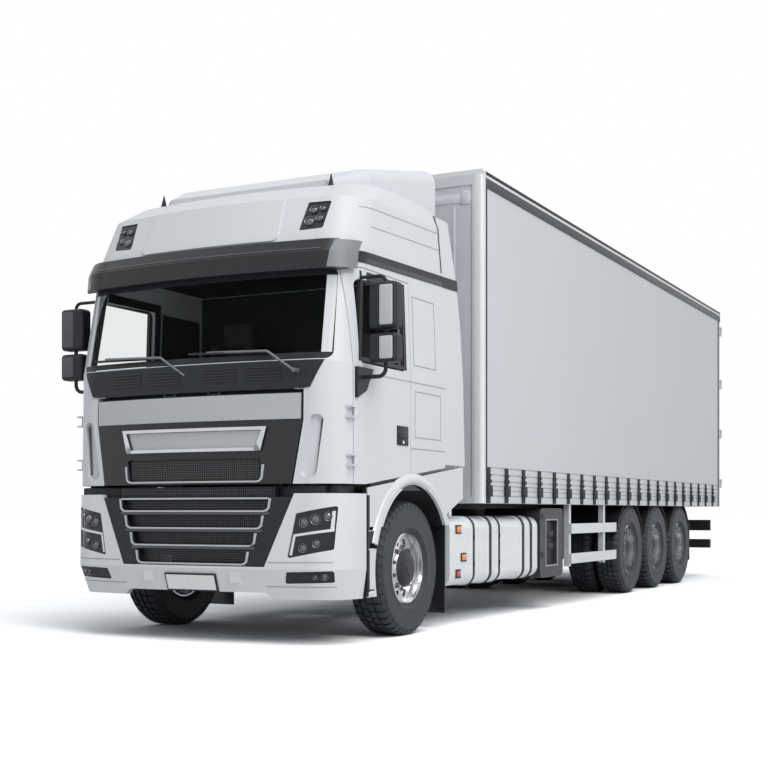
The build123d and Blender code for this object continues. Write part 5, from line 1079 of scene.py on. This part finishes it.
# Cab doors: pressed steel with a framed drop window, a square black pull handle in a recess and a
# rubber seal round the glass. Each hangs on two hinges at its front edge.
door_glass = glazing("door_glass", (0.025, 0.028, 0.031), (0.975, 0.98, 0.985))
seal_rubber = finish("window_seal", (0.022, 0.022, 0.023), 0.55, mottle=0.12, scale=25, bump=0.1)
for side in SIDES:
    hand = HAND[side]
    dress([f"cab_door_{hand}"], cab_white)
    dress([f"door_glass_{hand}"], door_glass)
    dress([f"mirror_{hand}"], satin_black)
    seal = joined([
        sided(CAB_SKIN, outline, 0.0035, 0.030) for outline in (
            [(-5.634, 2.078), (-4.850, 2.078), (-4.850, 2.108), (-5.634, 2.108)],
            [(-5.560, 2.680), (-4.850, 2.680), (-4.850, 2.748), (-5.560, 2.748)],
            [(-5.634, 2.108), (-5.598, 2.108), (-5.530, 2.680), (-5.560, 2.680)],
            [(-4.892, 2.108), (-4.850, 2.108), (-4.850, 2.680), (-4.892, 2.680)],
        )
    ])
    handle = blocks(
        ((1.238, -5.020, 1.490), (1.2545, -4.830, 1.640), 0.006),
        ((1.250, -5.005, 1.545), (1.262, -4.845, 1.575), 0.005),
    )
    lock = bmesh.new()
    bar(lock, (1.250, -4.925, 1.515), (1.2565, -4.925, 1.515), 0.014, 20)
    # The waist line is a grey strip of painted shade along the pressed line.
    waist = sided(CAB_SKIN, rect(-5.680, -4.782, 1.993, 2.000), LINE_OUT, LINE_THICK)
    inner = joined([
        blocks(
            ((1.172, -5.640, 1.420), (1.184, -4.800, 2.040), 0.004),
            ((1.100, -5.500, 1.760), (1.176, -4.950, 1.820), 0.020),
        ),
        sided(CAB_SKIN, rect(-5.500, -4.790, 2.695, 2.765), -0.0615, 0.003),
        sided(CAB_SKIN, rect(-4.868, -4.790, 2.060, 2.695), -0.0615, 0.003),
    ])
    handed(side, seal, handle, lock, waist, inner)
    body = f"cab_door_{hand}"
    piece(seal, f"window_seal_{hand}", seal_rubber, body)
    piece(handle, f"door_handle_{hand}", satin_black, body)
    piece(lock, f"door_lock_{hand}", chrome, body)
    piece(waist, f"door_waist_line_{hand}", crease_shade_and_seam_grey, body)
    piece(inner, f"door_trim_{hand}", dark_trim_and_cab_shade, body)

# Door mirrors: black moulded arms and housings. A cover is clipped over each front, painted pale
# where the left one is lit and dark grey where the right one is shaded, and the glass faces back.
mirror_cover_lit = finish("mirror_cover_lit", (0.52, 0.525, 0.535), 0.3, coat=0.3, mottle=0.03, scale=8, bump=0.02)
mirror_silver = finish("mirror_silver", (0.86, 0.87, 0.88), 0.04, metal=1.0, mottle=0.02, scale=4, bump=0.0)
MIRROR_IN, MIRROR_OUT = 1.320, 1.545
MIRROR_FRONT, MIRROR_REAR = -5.640, -5.510
COVER_EDGE, PANE_EDGE = 0.016, 0.022
# One cover part in two colours: painted light on the left mirror and painted shade on the right.
COVER_LIT_AND_SHADED = {1: mirror_cover_lit, -1: slat_grey_and_painted_light}
for side in SIDES:
    hand = HAND[side]
    covers = bmesh.new()
    panes = bmesh.new()
    for low, high in ((2.055, 2.270), (2.300, 2.640)):
        near = (MIRROR_IN + 0.082, MIRROR_FRONT - 0.004, low + COVER_EDGE)
        far = (MIRROR_OUT - 0.017, MIRROR_FRONT + 0.060, high - COVER_EDGE)
        block(covers, near, far, 0.022, 4)
        near = (MIRROR_IN + PANE_EDGE, MIRROR_REAR - 0.006, low + PANE_EDGE)
        far = (MIRROR_OUT - PANE_EDGE, MIRROR_REAR + 0.0025, high - PANE_EDGE)
        block(panes, near, far, 0.002, 1)
    handed(side, covers, panes)
    piece(covers, f"mirror_covers_{hand}", COVER_LIT_AND_SHADED[side], f"cab_door_{hand}")
    piece(panes, f"mirror_glass_{hand}", mirror_silver, f"cab_door_{hand}")

# Load floor: hardwood planks screwed to cross bearers, between two deep extruded aluminium raves
# that the curtain straps hook under.
rave_alloy = finish(
    "rave_alloy", (0.72, 0.73, 0.75), 0.34, metal=0.45, mottle=0.03, scale=4, bump=0.02, stretch=(1, 0.1, 1)
)
deck_wood = finish(
    "deck_wood", (0.21, 0.145, 0.095), 0.6, mottle=0.35, scale=14, bump=0.25, stretch=(1, 0.05, 1)
)
dress(["load_floor"], recoloured_near_centre(rave_alloy, 1.225, (0.03, 0.031, 0.033)))
DECK_FRONT, DECK_REAR = -3.310, 5.8017
bm = bmesh.new()
PLANKS = 11
PLANK_WIDTH = 2.45 / PLANKS
for index in range(PLANKS):
    x = -1.225 + index * PLANK_WIDTH
    near = (x + 0.002, DECK_FRONT + 0.004, 1.206)
    block(bm, near, (x + PLANK_WIDTH - 0.002, DECK_REAR - 0.004, 1.2125), 0.0015, 1)
piece(bm, "deck_planks", deck_wood, "chassis")

# Headboard: a ribbed aluminium wall between two pale rounded corner posts. A tie bar with four lugs
# crosses it near the top, under a dark rubber seal.
headboard_alloy = finish(
    "headboard_alloy", (0.66, 0.68, 0.71), 0.42, metal=0.1, mottle=0.04, scale=3, bump=0.03
)
HEADBOARD_FACE = -3.350
dress(["headboard"], headboard_alloy)
bm = bmesh.new()
block(bm, (-1.165, -3.374, 3.720), (1.165, HEADBOARD_FACE, 3.800), 0.006)
for x in (-1.10, -0.50, 0.50, 1.10):
    block(bm, (x - 0.045, -3.379, 3.700), (x + 0.045, HEADBOARD_FACE, 3.830), 0.008)
piece(bm, "headboard_bar", headboard_alloy, "chassis")
bm = blocks(((-1.160, -3.374, 3.872), (1.160, HEADBOARD_FACE, 3.928), 0.004))
piece(bm, "headboard_seal", satin_black, "chassis")
bm = bmesh.new()
for x in (-0.99, -0.66, -0.33, 0.0, 0.33, 0.66, 0.99):
    block(bm, (x - 0.012, -3.371, 1.125), (x + 0.012, -3.360, 3.690), 0.005)
piece(bm, "headboard_ribs", headboard_alloy, "chassis")
post_white = finish("post_white", (0.84, 0.85, 0.86), 0.35, coat=0.2, mottle=0.02, scale=3, bump=0.0)
bm = blocks(((1.166, -3.3835, 1.052), (1.2768, -3.312, 3.958), 0.052, 6, 2))
piece(both_sides(bm), "corner_post_covers", post_white, "chassis")

# Roof and cant rails: a thin roof skin over an aluminium rail on each side. A black edge trim and a
# dark grey runner cover lie on each rail, with a pale strip of the rail between them.
roof_alloy = finish("roof_alloy", (0.74, 0.745, 0.755), 0.36, metal=0.25, mottle=0.03, scale=2, bump=0.03)
runner_grey = finish(
    "runner_grey", (0.055, 0.058, 0.064), 0.5, mottle=0.08, scale=8, bump=0.04, stretch=(1, 0.1, 1)
)
RAIL_FRONT, RAIL_REAR = DECK_FRONT - 0.002, DECK_REAR + 0.110
dress(["body_roof"], roof_alloy)
bm = blocks(((1.268, RAIL_FRONT, 3.846), (1.2785, RAIL_REAR, 3.934), 0.003))
piece(both_sides(bm), "runner_covers", runner_grey, "chassis")
bm = blocks(((1.262, RAIL_FRONT, 3.958), (1.2770, RAIL_REAR, 3.991), 0.004))
piece(both_sides(bm), "roof_edge_trim", satin_black, "chassis")

# Rear frame and doors: aluminium-faced panels in a steel portal. Each door is edged with a rubber
# seal and carries two locking bars whose handles lie in retainers.
frame_grey = finish("frame_grey", (0.62, 0.63, 0.645), 0.36, metal=0.35, mottle=0.04, scale=4, bump=0.02)
door_panel = finish("door_panel", (0.76, 0.765, 0.775), 0.34, metal=0.15, mottle=0.02, scale=3, bump=0.015)
dress(["rear_frame"], frame_grey)
SEAL_BACK, SEAL_FACE, SEAL_IN, SEAL_OUT = 5.926, 5.935, 0.030, 1.232
DOOR_LOW, DOOR_HIGH = 1.178, 3.950
for side in SIDES:
    hand = HAND[side]
    dress([f"rear_door_{hand}"], door_panel)
    handles = bmesh.new()
    for x, reach in ((0.260, 0.220), (0.800, -0.220)):
        block(handles, (x - 0.022, 5.930, 1.500), (x + 0.022, 5.970, 1.560), 0.006)
        bar(handles, (x, 5.957, 1.530), (x + reach, 5.957, 1.505), 0.010, 12)
        grip = x + reach * 0.85
        block(handles, (grip - 0.025, 5.929, 1.480), (grip + 0.025, 5.968, 1.530), 0.006)
    seal = blocks(
        ((0.0045, SEAL_BACK, DOOR_LOW), (SEAL_IN, SEAL_FACE, DOOR_HIGH), 0.003),
        ((SEAL_OUT, SEAL_BACK, DOOR_LOW), (1.2605, SEAL_FACE, DOOR_HIGH), 0.003),
        ((SEAL_IN, SEAL_BACK, DOOR_LOW), (SEAL_OUT, SEAL_FACE, 1.205), 0.003),
        ((SEAL_IN, SEAL_BACK, 3.924), (SEAL_OUT, SEAL_FACE, DOOR_HIGH), 0.003),
    )
    handed(side, handles, seal)
    piece(handles, f"lock_handles_{hand}", nut_steel, f"rear_door_{hand}")
    piece(seal, f"rear_seal_{hand}", seal_rubber, f"rear_door_{hand}")
bm = bmesh.new()
for x in (-1.24, 1.14):
    block(bm, (x, 5.885, 3.905), (x + 0.10, 5.8945, 3.945), 0.004)
piece(bm, "rear_markers", red_lens, "chassis")

# Curtains: coated woven cloth hung from the cant rails, drawn tight and strapped under the raves.
# Webbing straps with buckles stand in a hemmed band along the lower edge.
STRAPS = 21
HEM_TOP = 1.372
CURTAIN_LOW, CURTAIN_HIGH = 1.056, 3.849
CURTAIN_X = 1.2712
curtain_cloth = finish(
    "curtain_cloth", (0.655, 0.675, 0.705), 0.48, coat=0.08, mottle=0.02, scale=1.2, bump=0.03
)
webbing = finish("webbing", (0.020, 0.021, 0.023), 0.6, mottle=0.2, scale=60, bump=0.2, spec=0.3)
SPAN = DECK_REAR - DECK_FRONT - 0.006
DROP = CURTAIN_HIGH - CURTAIN_LOW
PITCH = SPAN / STRAPS
HOLLOW, SLACK = 0.0022, 0.0012
HOLLOW_REACH, FOLDS = 0.9, 2.1


def hang(y, z):
    """How far the drawn cloth stands off its plane: hollows between the straps, slack folds above."""
    low = max(0.0, 1 - (z - CURTAIN_LOW) / HOLLOW_REACH)
    wave = cos(2 * pi * (y - DECK_FRONT) / PITCH)
    slack = sin(FOLDS * y + 0.6) * sin(pi * (z - CURTAIN_LOW) / DROP)
    return -HOLLOW * low * wave - SLACK * slack


for side in SIDES:
    hand = HAND[side]
    bm = bmesh.new()
    place = Matrix.Translation((0, (DECK_FRONT + DECK_REAR) / 2, (CURTAIN_LOW + CURTAIN_HIGH) / 2))
    place = place @ Matrix.Rotation(pi / 2, 4, "Y") @ Matrix.Diagonal((DROP / 2, SPAN / 2, 1, 1))
    bmesh.ops.create_grid(bm, x_segments=36, y_segments=STRAPS * 12, size=1, matrix=place)
    for vert in bm.verts:
        vert.co.x = side * (CURTAIN_X + hang(vert.co.y, vert.co.z))
    bmesh.ops.recalc_face_normals(bm, faces=bm.faces)
    if bm.faces[:][0].normal.x * side < 0:
        bmesh.ops.reverse_faces(bm, faces=bm.faces)
    cloth = piece(bm, f"curtain_{hand}", curtain_cloth, "chassis")
    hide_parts("curtains")
    straps = bmesh.new()
    hems = bmesh.new()
    for index in range(STRAPS):
        y = DECK_FRONT + (index + 0.09) * PITCH + 0.02
        block(straps, (CURTAIN_X, y - 0.040, 1.053), (CURTAIN_X + 0.008, y + 0.040, HEM_TOP), 0.002, 1)
        block(straps, (CURTAIN_X, y - 0.055, 1.112), (CURTAIN_X + 0.024, y + 0.060, 1.212), 0.006)
        block(straps, (CURTAIN_X, y - 0.050, 1.232), (CURTAIN_X + 0.018, y + 0.050, 1.266), 0.004)
        block(straps, (CURTAIN_X, y - 0.046, 1.288), (CURTAIN_X + 0.015, y + 0.046, 1.314), 0.004)
    for z in (1.118, 1.168, 1.208, 1.250, 1.310, HEM_TOP):
        near = (CURTAIN_X - 0.002, DECK_FRONT + 0.004, z - 0.004)
        block(hems, near, (CURTAIN_X + 0.0035, DECK_REAR - 0.004, z + 0.003), 0.001, 1)
    for y in (DECK_FRONT + 0.012, DECK_REAR - 0.012):
        bar(straps, (CURTAIN_X + 0.002, y, CURTAIN_LOW), (CURTAIN_X + 0.002, y, CURTAIN_HIGH), 0.009, 12)
    handed(side, straps, hems)
    buckles = piece(straps, f"curtain_straps_{hand}", webbing, "chassis")
    hem = piece(hems, f"curtain_hems_{hand}", crease_shade_and_seam_grey, "chassis", 0)

low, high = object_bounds()
